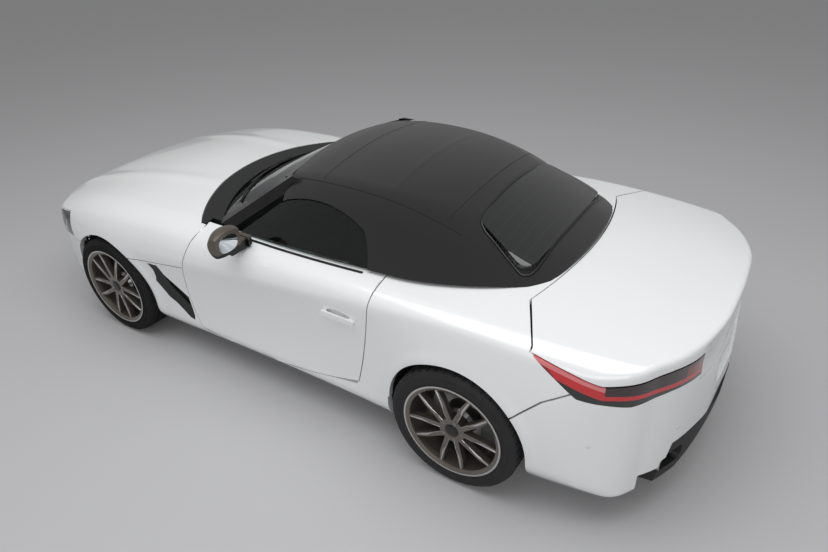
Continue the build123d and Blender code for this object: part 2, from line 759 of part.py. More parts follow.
with BuildPart() as diffuser:
    add(SHELL)
    with BuildSketch(Plane.YZ.offset(-2250)):
        with Locations((0, DIFFUSER_TOP - 120)):
            Trapezoid(DIFFUSER_WIDTH - 1, 239.4, 75)
    extrude(amount=370, mode=Mode.INTERSECT)
    add(tail_pipe_prism(), mode=Mode.SUBTRACT)

LAMP_CORE = body_solid(60)
with BuildPart() as left_tail_lamp:
    add(OUTER)
    add(LAMP_CORE, mode=Mode.SUBTRACT)
    add(tail_lamp_prism(0, 1), mode=Mode.INTERSECT)
    add(BOOT_GAP, mode=Mode.SUBTRACT)
with BuildPart() as tail_lamps:
    add(left_tail_lamp.part.solids().sort_by(SortBy.VOLUME)[-1])
    mirror(about=Plane.XZ)

# Openings of the nose: y, z, width, height
FRONT_OPENINGS = [(225, 590, 380, 130), (-225, 590, 380, 130), (0, 320, 900, 140), (620, 370, 110, 170), (-620, 370, 110, 170)]
with BuildPart() as front_bumper:
    add(SHELL)
    add(front_bumper_prism(0), mode=Mode.INTERSECT)
    add(BONNET_GAP, mode=Mode.SUBTRACT)
    add(HEADLAMP_GAP_LEFT, mode=Mode.SUBTRACT)
    add(HEADLAMP_GAP_RIGHT, mode=Mode.SUBTRACT)
    with BuildSketch(Plane.YZ.offset(1950)):
        for y, z, width, height in FRONT_OPENINGS:
            with Locations((y, z)):
                RectangleRounded(width, height, 36)
    extrude(amount=400, mode=Mode.SUBTRACT)
    with BuildSketch(Plane.XZ):
        Rectangle(3300, 3000)
    extrude(amount=700, both=True, mode=Mode.SUBTRACT)

with BuildPart() as headlamps:
    add(OUTER)
    add(LAMP_CORE, mode=Mode.SUBTRACT)
    add(headlamp_prism(0, 1), mode=Mode.INTERSECT)
    mirror(about=Plane.XZ)

# Grille: dark mesh panels held against the back of the bumper's openings
GRILLE_LAP = 14
GRILLE_BACK = body_solid(SHEET + 14)
BAR_PITCH = 46
with BuildPart() as grille:
    add(INNER)
    add(GRILLE_BACK, mode=Mode.SUBTRACT)
    with BuildSketch(Plane.YZ.offset(1950)):
        for y, z, width, height in FRONT_OPENINGS:
            with Locations((y, z)):
                RectangleRounded(width + 2 * GRILLE_LAP, height + 2 * GRILLE_LAP, 30)
    extrude(amount=400, mode=Mode.INTERSECT)
    with BuildSketch(Plane.YZ.offset(1950)):
        for y, z, width, height in FRONT_OPENINGS:
            columns, rows = int(width // BAR_PITCH), int(height // BAR_PITCH)
            with Locations((y, z)):
                with GridLocations(BAR_PITCH, BAR_PITCH, columns, rows):
                    Rectangle(BAR_PITCH - 9, BAR_PITCH - 9)
    extrude(amount=400, mode=Mode.SUBTRACT)

# ---------------------------------------------------------------- windscreen
SCREEN_LOW_Z = 880
SCREEN_TOP_Z = 1222
SCREEN_LOW = (818, 492, 722)
SCREEN_TOP = (128, 28, 538)


def screen_loft(ahead, thickness, narrow, top_z):
    """Bowed and raked slab; narrow draws the sides in, ahead shifts it forward."""
    rise = (top_z - SCREEN_LOW_Z) / (SCREEN_TOP_Z - SCREEN_LOW_Z)
    rows = []
    for share, z in ((0, SCREEN_LOW_Z), (rise, top_z)):
        centre = SCREEN_LOW[0] + (SCREEN_TOP[0] - SCREEN_LOW[0]) * share + ahead
        end = SCREEN_LOW[1] + (SCREEN_TOP[1] - SCREEN_LOW[1]) * share + ahead
        half = SCREEN_LOW[2] + (SCREEN_TOP[2] - SCREEN_LOW[2]) * share
        rows.append((centre, end, half, z))
    with BuildPart() as slab:
        for centre, end, half, z in rows:
            side = half - narrow
            front = end + (centre - end) * (1 - (side / half) ** 2)
            with BuildSketch(Plane.XY.offset(z)):
                with BuildLine():
                    ThreePointArc((front, -side), (centre, 0), (front, side))
                    Line((front, side), (front - thickness, side))
                    ThreePointArc((front - thickness, side), (centre - thickness, 0), (front - thickness, -side))
                    Line((front - thickness, -side), (front, -side))
                make_face()
        loft(ruled=True)
    return slab.part


PILLAR_DEPTH = 96
PILLAR_WIDTH = 52
HEADER_Z = 1188
with BuildPart() as soft_top:
    add(ROOF_OUTER)
    add(ROOF_INNER, mode=Mode.SUBTRACT)
    add(header_prism(0), mode=Mode.SUBTRACT)
    add(OUTER, mode=Mode.SUBTRACT)
    add(window_prism(0, 1), mode=Mode.SUBTRACT)
    add(window_prism(0, -1), mode=Mode.SUBTRACT)
    add(rear_glass_prism(SEAL_GAP), mode=Mode.SUBTRACT)
    with Locations((0, 0, 850)):
        Box(4000, 2000, 100, mode=Mode.SUBTRACT)

with BuildPart() as windscreen_frame:
    add(screen_loft(0, PILLAR_DEPTH, 0, SCREEN_TOP_Z))
    add(screen_loft(20, PILLAR_DEPTH + 40, PILLAR_WIDTH, HEADER_Z), mode=Mode.SUBTRACT)
    add(OUTER, mode=Mode.SUBTRACT)
    add(ROOF_OUTER - header_prism(0), mode=Mode.SUBTRACT)

with BuildPart() as windscreen_glass:
    add(screen_loft(0, 12, PILLAR_WIDTH + SEAL_GAP, HEADER_Z - SEAL_GAP))
    add(OUTER, mode=Mode.SUBTRACT)

GLASS_INSET = 6
ROOF_GLAZING = roof_solid(GLASS_INSET)
with BuildPart() as rear_glass:
    add(ROOF_OUTER)
    add(ROOF_GLAZING, mode=Mode.SUBTRACT)
    add(rear_glass_prism(0), mode=Mode.INTERSECT)

GLASS_GAP = 8


def left_door_glass():
    with BuildPart() as glass:
        add(ROOF_GLAZING)
        add(roof_solid(GLASS_INSET + GLASS), mode=Mode.SUBTRACT)
        add(window_prism(-GLASS_GAP, 1), mode=Mode.INTERSECT)
        add(OUTER, mode=Mode.SUBTRACT)
    return glass.part


left_glass_solid = left_door_glass()
with BuildPart() as door_glass_left:
    add(left_glass_solid)
with BuildPart() as door_glass_right:
    add(left_glass_solid)
    mirror(about=Plane.XZ, mode=Mode.REPLACE)

# Door mirrors: a foot on the door's shoulder, an arm and a cap with the glass let in behind
MIRROR_CENTRE = (170, 930, 985)


def left_mirror():
    with BuildPart() as mirror_body:
        with BuildSketch(Plane.XZ.offset(-850)):
            with Locations((MIRROR_CENTRE[0] + 5, MIRROR_CENTRE[2])):
                Ellipse(70, 55)
        with BuildSketch(Plane.XZ.offset(-930)):
            with Locations((MIRROR_CENTRE[0], MIRROR_CENTRE[2])):
                Ellipse(78, 70)
        with BuildSketch(Plane.XZ.offset(-1010)):
            with Locations((MIRROR_CENTRE[0] - 15, MIRROR_CENTRE[2] - 4)):
                Ellipse(48, 52)
        loft()
        with BuildSketch(Plane.YZ.offset(MIRROR_CENTRE[0] - 200)):
            Rectangle(4000, 4000)
        extrude(amount=200 - 32, mode=Mode.SUBTRACT)
        with BuildSketch(Plane.XY.offset(MIRROR_CENTRE[2] - 90)):
            with Locations((MIRROR_CENTRE[0] + 10, 845)):
                Rectangle(60, 130)
        extrude(amount=60)
        with BuildSketch(Plane.XY.offset(900)):
            with Locations((MIRROR_CENTRE[0] + 20, 790)):
                Rectangle(110, 24)
        extrude(amount=60)
        add(OUTER, mode=Mode.SUBTRACT)
    return mirror_body.part


left_mirror_solid = left_mirror()
with BuildPart() as mirror_left:
    add(left_mirror_solid)
with BuildPart() as mirror_right:
    add(left_mirror_solid)
    mirror(about=Plane.XZ, mode=Mode.REPLACE)

# ---------------------------------------------------------------- structure
RAIL_Y = 440
RAIL_WIDTH = 60
FRONT_BEAM_X = 1960
REAR_BEAM_X = -1990
with BuildPart() as rear_wall:
    add(INNER)
    with BuildSketch(Plane.YZ.offset(REAR_WALL_X)):
        with Locations((0, FLOOR_Z + 500)):
            Rectangle(2 * CABIN_HALF, 1000)
    extrude(amount=WALL, mode=Mode.INTERSECT)

# Foam absorbers on both cross beams and the slam panel that carries the bonnet's front,
# each cut to the inside of the skin
with BuildPart() as skin_rests:
    add(WITHIN)
    with BuildSketch(Plane.YZ.offset(FRONT_BEAM_X + 8)):
        with Locations((0, 457)):
            Rectangle(1080, 84)
    extrude(amount=300, mode=Mode.INTERSECT)
with BuildPart() as rear_rest:
    add(WITHIN)
    with BuildSketch(Plane.YZ.offset(REAR_BEAM_X)):
        with Locations((0, 445)):
            Rectangle(700, 30)
    extrude(amount=-300, mode=Mode.INTERSECT)
SLAM_X = 1900
with BuildPart() as slam_panel:
    add(WITHIN)
    with BuildSketch(Plane.YZ.offset(SLAM_X)):
        with Locations((0, 790)):
            Rectangle(940, 300)
        with Locations((RAIL_Y, 560), (-RAIL_Y, 560)):
            Rectangle(RAIL_WIDTH, 280)
    extrude(amount=12, mode=Mode.INTERSECT)

with BuildPart() as floor_pan:
    with BuildSketch(Plane.XY.offset(FLOOR_Z)):
        with Locations(((BULKHEAD_X + REAR_WALL_X) / 2, 0)):
            Rectangle(BULKHEAD_X - REAR_WALL_X, 2 * CABIN_HALF)
    extrude(amount=FLOOR_THICKNESS)
    with BuildSketch(Plane.YZ.offset(REAR_WALL_X)):
        with Locations((0, 310)):
            Rectangle(260, 240)
    extrude(amount=BULKHEAD_X - REAR_WALL_X)
    with BuildSketch(Plane.YZ.offset(BULKHEAD_X - WALL)):
        with Locations((0, 520)):
            Rectangle(2 * CABIN_HALF, 664)
    extrude(amount=WALL)
    add(rear_wall.part)
    with BuildSketch(Plane.YZ.offset(BULKHEAD_X)):
        for side in (1, -1):
            with Locations((side * RAIL_Y, 380)):
                Rectangle(RAIL_WIDTH, 100)
    extrude(amount=FRONT_BEAM_X - BULKHEAD_X)
    with BuildSketch(Plane.YZ.offset(REAR_WALL_X)):
        for side in (1, -1):
            with Locations((side * RAIL_Y, 420)):
                Rectangle(RAIL_WIDTH, 80)
    extrude(amount=REAR_BEAM_X - REAR_WALL_X)
    with Locations((FRONT_BEAM_X + 8, 0, 400)):
        Box(16, 1100, 110)
    with Locations((REAR_BEAM_X - 6, 0, 420)):
        Box(12, 960, 80)
    add(skin_rests.part)
    add(rear_rest.part)
    add(slam_panel.part)
    with BuildSketch(Plane.YZ.offset(REAR_WALL_X - 10)):
        with Locations((0, 260)):
            Rectangle(200, 260)
    extrude(amount=BULKHEAD_X - REAR_WALL_X + 30, mode=Mode.SUBTRACT)
    add(arch_prism(LINER + SEAL_GAP), mode=Mode.SUBTRACT)

BOOT_FLOOR_Z = 460
BOOT_FRONT_WALL_X = -1330
BOOT_REAR_WALL_X = -1900
BOOT_HALF = 455
with BuildPart() as boot_tub:
    add(WITHIN)
    with BuildSketch(Plane.XY.offset(BOOT_FLOOR_Z)):
        with Locations(((BOOT_FRONT_WALL_X + BOOT_REAR_WALL_X) / 2, 0)):
            Rectangle(BOOT_FRONT_WALL_X - BOOT_REAR_WALL_X, 2 * BOOT_HALF)
    extrude(amount=600, mode=Mode.INTERSECT)
    with BuildSketch(Plane.XY.offset(BOOT_FLOOR_Z + 10)):
        with Locations(((BOOT_FRONT_WALL_X + BOOT_REAR_WALL_X) / 2, 0)):
            Rectangle(BOOT_FRONT_WALL_X - BOOT_REAR_WALL_X - 20, 2 * BOOT_HALF - 20)
    extrude(amount=800, mode=Mode.SUBTRACT)

with BuildPart() as wheel_liners:
    for x, radius in ((FRONT_AXLE_X, FRONT_TYRE_RADIUS), (REAR_AXLE_X, REAR_TYRE_RADIUS)):
        for side in (1, -1):
            with BuildSketch(Plane.XZ.offset(-side * 560)):
                with Locations((x, radius)):
                    Circle(radius + ARCH_CLEARANCE + LINER)
                    Circle(radius + ARCH_CLEARANCE + 2, mode=Mode.SUBTRACT)
                with Locations((x, radius - 250)):
                    Rectangle(1000, 500, mode=Mode.SUBTRACT)
            extrude(amount=-side * 270)

# Outer edges of the liners, below the bonnet's shut line, reach out to the panels
with BuildPart() as liner_edges:
    add(WITHIN)
    with BuildSketch(Plane.XZ):
        for x, radius in ((FRONT_AXLE_X, FRONT_TYRE_RADIUS), (REAR_AXLE_X, REAR_TYRE_RADIUS)):
            with Locations((x, radius)):
                Circle(radius + ARCH_CLEARANCE + LINER)
                Circle(radius + ARCH_CLEARANCE + 2, mode=Mode.SUBTRACT)
        with Locations((0, -60)):
            Rectangle(4000, 620, mode=Mode.SUBTRACT)
        with Locations((FRONT_AXLE_X, 800)):
            Rectangle(1200, 480, mode=Mode.SUBTRACT)
    extrude(amount=FAR, both=True, mode=Mode.INTERSECT)
    with Locations((0, 0, 500)):
        Box(4400, 2 * 830, 1000, mode=Mode.SUBTRACT)
with BuildPart() as lined_arches:
    add(wheel_liners.part)
    add(liner_edges.part)

with BuildPart() as engine:
    with Locations((1120, 0, 510)):
        Box(640, 420, 440)
    fillet(engine.edges().filter_by(Axis.Z), 40)
    with Locations((1120, 0, 380)):
        Box(80, 2 * (RAIL_Y - RAIL_WIDTH / 2 - SEAL_GAP), 40)

with BuildPart() as exhaust:
    with BuildSketch(Plane.YZ.offset(-2005)):
        with Locations((0, 320)):
            RectangleRounded(760, 100, 45)
    extrude(amount=180)
    for side in (1, -1):
        with Locations((REAR_BEAM_X - 6, side * 300, 365)):
            Box(10, 40, 2 * (15 - SEAL_GAP))
    with BuildSketch(Plane.YZ.offset(TAIL_PIPE_X)):
        for side in (1, -1):
            with Locations((side * TAIL_PIPE_Y, TAIL_PIPE_Z)):
                RectangleRounded(TAIL_PIPE_WIDTH, TAIL_PIPE_HEIGHT, 24)
                RectangleRounded(TAIL_PIPE_WIDTH - 12, TAIL_PIPE_HEIGHT - 12, 18, mode=Mode.SUBTRACT)
    extrude(amount=130)
    for side in (1, -1):
        with Locations((-1935, side * 440, 305)):
            Box(70, 150, 50)
    with BuildSketch(Plane.YZ.offset(-1825)):
        with Locations((0, 225)):
            Circle(30)
    extrude(amount=2475)
    with Locations((-1825, 0, 280)):
        Box(50, 60, 130)

# ---------------------------------------------------------------- cabin
DASH_FRONT_X = BULKHEAD_X - WALL - SEAL_GAP
with BuildPart() as dashboard:
    with BuildSketch(Plane.XZ):
        with BuildLine():
            Polyline((DASH_FRONT_X, 620), (DASH_FRONT_X, 850), (640, 862), (420, 868))
            ThreePointArc((420, 868), (250, 846), (215, 780))
            Polyline((215, 780), (300, 600), (420, 560), (DASH_FRONT_X, 620))
        make_face()
    extrude(amount=CABIN_HALF, both=True)
    with BuildSketch(Plane.YZ.offset(236)):
        with Locations((SEAT_Y, 850)):
            Ellipse(165, 58)
    extrude(amount=150)
    with Locations(Location((306, 0, 896), (0, -12, 0))):
        Box(14, 250, 104)

with BuildPart() as console:
    with BuildSketch(Plane.XZ):
        with BuildLine():
            Polyline((-640, 430), (-640, 560), (-240, 560), (60, 520), (230, 590), (330, 560), (330, 430), close=True)
        make_face()
    extrude(amount=118, both=True)


def seat_solid(side):
    with BuildPart() as seat:
        with BuildSketch(Plane.XZ.offset(-side * SEAT_Y)):
            with BuildLine():
                Polyline((60, 300), (90, 420), (-420, 370), (-590, 860), (-600, 1050), (-690, 1050),
                         (-730, 860), (-560, 260), (0, 250), close=True)
            make_face()
            fillet(vertices(), 22)
        extrude(amount=240, both=True)
        for edge in (1, -1):
            with BuildSketch(Plane.XZ.offset(-side * SEAT_Y - edge * 198)):
                with BuildLine():
                    Polyline((60, 380), (76, 440), (30, 466), (-352, 424), (-520, 836), (-582, 905), (-640, 850),
                             (-480, 320), close=True)
                make_face()
                fillet(vertices(), 18)
            extrude(amount=34, both=True)
        with BuildSketch(Plane.YZ.offset(-800)):
            with BuildLine():
                Polyline((side * SEAT_Y - 232, 200), (side * SEAT_Y + 232, 200), (side * SEAT_Y + 225, 760),
                         (side * SEAT_Y + 130, 1060), (side * SEAT_Y - 130, 1060), (side * SEAT_Y - 225, 760), close=True)
            make_face()
            fillet(vertices(), 40)
        extrude(amount=1000, mode=Mode.INTERSECT)
        with Locations((-240, side * SEAT_Y, 222)):
            Box(380, 360, 68)
    return seat.part


with BuildPart() as seat_left:
    add(seat_solid(1))
with BuildPart() as seat_right:
    add(seat_solid(-1))

with BuildPart() as roll_hoops:
    with BuildSketch(Plane.YZ.offset(REAR_WALL_X + WALL + 28)):
        for side in (1, -1):
            with Locations((side * SEAT_Y, 988)):
                RectangleRounded(300, 210, 60)
                RectangleRounded(240, 150, 45, mode=Mode.SUBTRACT)
    extrude(amount=-28)

COLUMN_TILT = 24
WHEEL_BACK = 22
WHEEL_HUB = (20, SEAT_Y, 735)
column_plane = Plane(origin=WHEEL_HUB, x_dir=(0, 1, 0), z_dir=(-cos(radians(COLUMN_TILT)), 0, sin(radians(COLUMN_TILT))))
with BuildPart() as steering_wheel:
    with BuildSketch(Plane(origin=WHEEL_HUB, x_dir=(0, 1, 0), z_dir=column_plane.y_dir)):
        with Locations((STEERING_WHEEL_RADIUS, 0)):
            Circle(16)
    revolve(axis=Axis(WHEEL_HUB, column_plane.z_dir))
    with BuildSketch(column_plane.offset(-WHEEL_BACK)):
        Circle(62)
        with PolarLocations(100, 3, start_angle=90):
            Rectangle(150, 42)
    extrude(amount=24)
with BuildPart() as steering_column:
    with BuildSketch(column_plane.offset(-30)):
        Circle(38)
    extrude(amount=-230)
    with BuildSketch(column_plane.offset(-30)):
        Circle(13)
    extrude(amount=30 - WHEEL_BACK - SEAL_GAP)
    add(dashboard.part, mode=Mode.SUBTRACT)
    add(floor_pan.part, mode=Mode.SUBTRACT)

# ---------------------------------------------------------------- wheels
DISC_RADIUS = 174
DISC_FACE = 66
SPINDLE_RADIUS = 18


def tyre_solid(x, y, radius, width, side):
    half = width / 2
    plane = Plane(origin=(x, y, radius), x_dir=(0, side, 0), z_dir=(1, 0, 0))
    with BuildPart() as tyre:
        with BuildSketch(plane):
            with BuildLine():
                Polyline((-half + 10, RIM_SEAT_RADIUS), (-half + 4, RIM_LIP_RADIUS), (-half + 1, radius - 45))
                ThreePointArc((-half + 1, radius - 45), (-half + 7, radius - 16), (-half + 26, radius - 3))
                ThreePointArc((-half + 26, radius - 3), (0, radius), (half - 26, radius - 3))
                ThreePointArc((half - 26, radius - 3), (half - 7, radius - 16), (half - 1, radius - 45))
                Polyline((half - 1, radius - 45), (half - 4, RIM_LIP_RADIUS), (half - 10, RIM_SEAT_RADIUS),
                         (-half + 10, RIM_SEAT_RADIUS))
            make_face()
        revolve(axis=Axis((x, y, radius), (0, 1, 0)))
    return tyre.part


SPOKE_FACE = 14
SPOKE_DEPTH = 30


SPOKE_OUTLINE = [(40, 6), (152, 34), (233, 48), (229, 66), (166, 62), (56, 36)]


def spoke_point(radius, across, turn):
    c, s = cos(radians(turn + 90)), sin(radians(turn + 90))
    return (radius * c - across * s, radius * s + across * c)


def rim_solid(x, y, radius, width, side):
    half = width / 2
    seat = RIM_SEAT_RADIUS
    plane = Plane(origin=(x, y, radius), x_dir=(0, side, 0), z_dir=(1, 0, 0))
    face = Plane(origin=(x, y + side * (half - SPOKE_FACE), radius), x_dir=(1, 0, 0), z_dir=(0, side, 0))
    with BuildPart() as rim:
        with BuildSketch(plane):
            with BuildLine():
                Polyline((-half + 11, seat - 0.5), (half - 9.2, seat - 0.5), (half - 3.2, RIM_LIP_RADIUS),
                         (half - 1, RIM_LIP_RADIUS), (half - 1, RIM_LIP_RADIUS - 12), (half - 10, seat - 11),
                         (half - 30, seat - 14), (-half + 11, seat - 12), close=True)
            make_face()
        revolve(axis=Axis((x, y, radius), (0, 1, 0)))
        with BuildSketch(face):
            Circle(66)
        extrude(amount=-(half - SPOKE_FACE - DISC_FACE))
        with BuildSketch(face):
            for i in range(5):
                for lean in (1, -1):
                    with BuildLine():
                        Polyline(*[spoke_point(r, lean * across, 72 * i) for r, across in SPOKE_OUTLINE], close=True)
                    make_face()
        extrude(amount=-SPOKE_DEPTH)
    return rim.part


def disc_solid(x, y, radius, side):
    """Brake disc with its bell, bolted behind the wheel centre."""
    axis = Axis((x, y, radius), (0, 1, 0))
    plane = Plane(origin=(x, y, radius), x_dir=(0, side, 0), z_dir=(1, 0, 0))
    with BuildPart() as disc:
        with BuildSketch(plane):
            with BuildLine():
                Polyline((-34, 92), (-34, DISC_RADIUS), (-4, DISC_RADIUS), (-4, 92), (48, 78), (DISC_FACE, 66),
                         (DISC_FACE, SPINDLE_RADIUS + SEAL_GAP), (50, SPINDLE_RADIUS + SEAL_GAP), (50, 60), (-16, 84), close=True)
            make_face()
        revolve(axis=axis)
    return disc.part


WHEELS = (
    ("front_left", FRONT_AXLE_X, FRONT_TRACK / 2, 1, FRONT_TYRE_RADIUS, FRONT_TYRE_WIDTH),
    ("front_right", FRONT_AXLE_X, -FRONT_TRACK / 2, -1, FRONT_TYRE_RADIUS, FRONT_TYRE_WIDTH),
    ("rear_left", REAR_AXLE_X, REAR_TRACK / 2, 1, REAR_TYRE_RADIUS, REAR_TYRE_WIDTH),
    ("rear_right", REAR_AXLE_X, -REAR_TRACK / 2, -1, REAR_TYRE_RADIUS, REAR_TYRE_WIDTH),
)
wheel_parts = {}
for corner, x, y, side, radius, width in WHEELS:
    wheel_parts["tyre_" + corner] = tyre_solid(x, y, radius, width, side)
    wheel_parts["rim_" + corner] = rim_solid(x, y, radius, width, side)
    wheel_parts["disc_" + corner] = disc_solid(x, y, radius, side)

# ---------------------------------------------------------------- running gear
KINGPIN_Y = 770
KNUCKLE_INSET = 92
BALL_PIN_RADIUS = 10
# Lug under the front upright, with the bore for the lower arm's ball pin: y, z
BALL_LUG = [(705, 205), (741, 205), (741, 145), (790, 145), (790, 127), (705, 127)]
# Lower arm in front view, from the subframe down to its ball pin: y, z
LOWER_ARM = [(350, 212), (600, 140), (665, 119), (694, 114.5), (750, 110.5), (785, 110.5),
             (785, 121.7), (694, 121.7), (600, 165), (350, 240)]


def knuckle_solid(x, y, radius, side):
    """Upright with its bearing housing, steering arm and brake caliper."""
    inner = Plane(origin=(x, y - side * KNUCKLE_INSET, radius), x_dir=(1, 0, 0), z_dir=(0, side, 0))
    with BuildPart() as knuckle:
        with BuildSketch(inner):
            Circle(52)
            with Locations((0, 80), (0, -80)):
                RectangleRounded(56, 130, 20)
        extrude(amount=36)
        with BuildSketch(Plane(origin=(x, y - side * 60, radius), x_dir=(1, 0, 0), z_dir=(0, side, 0))):
            Circle(40)
        extrude(amount=104)
        with BuildSketch(inner):
            with Locations((-150, 0)):
                Rectangle(70, 150)
            with Locations((-80, 0)):
                Rectangle(150, 40)
        extrude(amount=46)
        with BuildSketch(Plane(origin=(x, y - side * 46, radius), x_dir=(1, 0, 0), z_dir=(0, side, 0))):
            with Locations((-192, 0)):
                Rectangle(20, 150)
        extrude(amount=72)
        with BuildSketch(Plane(origin=(x, y + side * 4, radius), x_dir=(1, 0, 0), z_dir=(0, side, 0))):
            with Locations((-150, 0)):
                Rectangle(90, 150)
        extrude(amount=24)
        with BuildSketch(Plane(origin=(x, y + side * 40, radius), x_dir=(1, 0, 0), z_dir=(0, side, 0))):
            Circle(SPINDLE_RADIUS)
        extrude(amount=DISC_FACE - 40 - SEAL_GAP)
        if x > 0:
            with BuildSketch(Plane.YZ.offset(x)):
                with BuildLine():
                    Polyline(*[(side * a, z) for a, z in BALL_LUG], close=True)
                make_face()
            extrude(amount=20, both=True)
            with BuildSketch(Plane.XY.offset(100)):
                with Locations((x, side * KINGPIN_Y)):
                    Circle(BALL_PIN_RADIUS + SEAL_GAP)
            extrude(amount=80, mode=Mode.SUBTRACT)
    return knuckle.part


with BuildPart() as knuckle_left:
    add(knuckle_solid(FRONT_AXLE_X, FRONT_TRACK / 2, FRONT_TYRE_RADIUS, 1))
with BuildPart() as knuckle_right:
    add(knuckle_solid(FRONT_AXLE_X, -FRONT_TRACK / 2, FRONT_TYRE_RADIUS, -1))
with BuildPart() as rear_knuckles:
    add(knuckle_solid(REAR_AXLE_X, REAR_TRACK / 2, REAR_TYRE_RADIUS, 1))
    add(knuckle_solid(REAR_AXLE_X, -REAR_TRACK / 2, REAR_TYRE_RADIUS, -1))

STRUT_Y = 572
SPRING_TURNS = 7
with BuildPart() as front_suspension:
    with Locations((FRONT_AXLE_X, 0, 240)):
        Box(150, 760, 50)
    for side in (1, -1):
        with Locations((FRONT_AXLE_X, side * RAIL_Y, (215 + 330 - SEAL_GAP) / 2)):
            Box(110, RAIL_WIDTH, 330 - SEAL_GAP - 215)
        with Locations((FRONT_AXLE_X, side * 400, 240)):
            Box(110, 60, 50)
        with BuildSketch(Plane.YZ.offset(FRONT_AXLE_X)):
            with BuildLine():
                Polyline(*[(side * a, z) for a, z in LOWER_ARM], close=True)
            make_face()
        extrude(amount=10, both=True)
        with BuildSketch(Plane.XY.offset(116)):
            with Locations((FRONT_AXLE_X, side * KINGPIN_Y)):
                Circle(BALL_PIN_RADIUS)
        extrude(amount=29)
        with BuildSketch(Plane.XY.offset(165)):
            with Locations((FRONT_AXLE_X, side * STRUT_Y)):
                Circle(22)
        extrude(amount=495)
        for turn in range(SPRING_TURNS):
            with BuildSketch(Plane.XY.offset(440 + turn * 30)):
                with Locations((FRONT_AXLE_X, side * STRUT_Y)):
                    Circle(50)
            extrude(amount=15)
        with BuildSketch(Plane.XY.offset(650)):
            with Locations((FRONT_AXLE_X, side * STRUT_Y)):
                Circle(40)
        extrude(amount=42.5)

with BuildPart() as rear_suspension:
    with Locations((REAR_AXLE_X, 0, 285)):
        Box(300, 800, 36)
    with Locations((REAR_AXLE_X, 0, 340)):
        Box(240, 200, 160)
    with BuildSketch(Plane.XZ.offset(REAR_TRACK / 2 - KNUCKLE_INSET - SEAL_GAP)):
        with Locations((REAR_AXLE_X, REAR_TYRE_RADIUS)):
            Circle(18)
    extrude(amount=-2 * (REAR_TRACK / 2 - KNUCKLE_INSET - SEAL_GAP))
    for side in (1, -1):
        with Locations((REAR_AXLE_X + 40, side * 520, 285)):
            Box(60, 300, 26)
        with Locations((REAR_AXLE_X - 90, side * RAIL_Y, (267 + 380 - SEAL_GAP) / 2)):
            Box(80, RAIL_WIDTH, 380 - SEAL_GAP - 267)
        with Locations((REAR_AXLE_X - 90, side * 400, 285)):
            Box(80, 60, 36)

# ---------------------------------------------------------------- export
PARTS = {
    "bonnet": bonnet.part, "boot_lid": boot_lid.part, "cowl": cowl.part,
    "door_left": door_left.part, "door_right": door_right.part,
    "door_glass_left": door_glass_left.part, "door_glass_right": door_glass_right.part,
    "mirror_left": mirror_left.part, "mirror_right": mirror_right.part,
    "wing_left": wing_left.part, "wing_right": wing_right.part, "side_vents": side_vents.part,
    "sills": sills.part, "quarter_left": quarter_left.part, "quarter_right": quarter_right.part,
    "rear_deck": rear_deck.part, "rear_bumper": rear_bumper.part, "diffuser": diffuser.part,
    "tail_lamps": tail_lamps.part, "front_bumper": front_bumper.part, "headlamps": headlamps.part,
    "grille": grille.part, "soft_top": soft_top.part, "windscreen_frame": windscreen_frame.part,
    "windscreen_glass": windscreen_glass.part, "rear_glass": rear_glass.part,
    "floor_pan": floor_pan.part, "boot_tub": boot_tub.part, "wheel_liners": lined_arches.part,
    "engine": engine.part, "exhaust": exhaust.part, "dashboard": dashboard.part, "console": console.part,
    "seat_left": seat_left.part, "seat_right": seat_right.part, "roll_hoops": roll_hoops.part,
    "steering_wheel": steering_wheel.part, "steering_column": steering_column.part,
    "knuckle_left": knuckle_left.part, "knuckle_right": knuckle_right.part,
    "rear_knuckles": rear_knuckles.part, "front_suspension": front_suspension.part,
    "rear_suspension": rear_suspension.part,
}
PARTS.update(wheel_parts)
os.makedirs("parts", exist_ok=True)
for name, part in PARTS.items():
    part.label = name
    export_step(part, "parts/" + name + ".step")
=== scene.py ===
import json
from math import atan2, cos, hypot, pi, radians, sin

import bmesh
import bpy
import numpy as np
from mathutils import Matrix, Vector

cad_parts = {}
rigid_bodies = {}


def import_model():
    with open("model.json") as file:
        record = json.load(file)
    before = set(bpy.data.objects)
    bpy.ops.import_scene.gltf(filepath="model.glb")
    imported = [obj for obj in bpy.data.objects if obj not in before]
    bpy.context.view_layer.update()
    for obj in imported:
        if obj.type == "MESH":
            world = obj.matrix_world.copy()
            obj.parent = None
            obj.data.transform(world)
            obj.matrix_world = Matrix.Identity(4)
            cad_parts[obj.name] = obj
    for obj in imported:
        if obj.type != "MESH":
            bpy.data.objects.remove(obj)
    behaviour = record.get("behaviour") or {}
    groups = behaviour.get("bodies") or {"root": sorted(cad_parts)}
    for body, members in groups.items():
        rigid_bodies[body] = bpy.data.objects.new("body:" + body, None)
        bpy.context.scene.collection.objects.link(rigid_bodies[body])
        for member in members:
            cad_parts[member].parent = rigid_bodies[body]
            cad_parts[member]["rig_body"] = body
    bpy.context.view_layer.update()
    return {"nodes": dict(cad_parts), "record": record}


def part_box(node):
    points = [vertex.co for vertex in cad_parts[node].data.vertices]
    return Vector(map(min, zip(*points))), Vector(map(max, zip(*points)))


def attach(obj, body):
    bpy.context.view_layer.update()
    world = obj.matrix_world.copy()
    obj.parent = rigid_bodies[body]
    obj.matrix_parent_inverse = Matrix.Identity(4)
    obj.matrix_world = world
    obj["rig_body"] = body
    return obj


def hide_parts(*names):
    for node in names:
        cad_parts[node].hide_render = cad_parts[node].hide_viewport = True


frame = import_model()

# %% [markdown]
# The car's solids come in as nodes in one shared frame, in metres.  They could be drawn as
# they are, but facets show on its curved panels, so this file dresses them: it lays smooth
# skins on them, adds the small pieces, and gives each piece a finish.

MM = 0.001


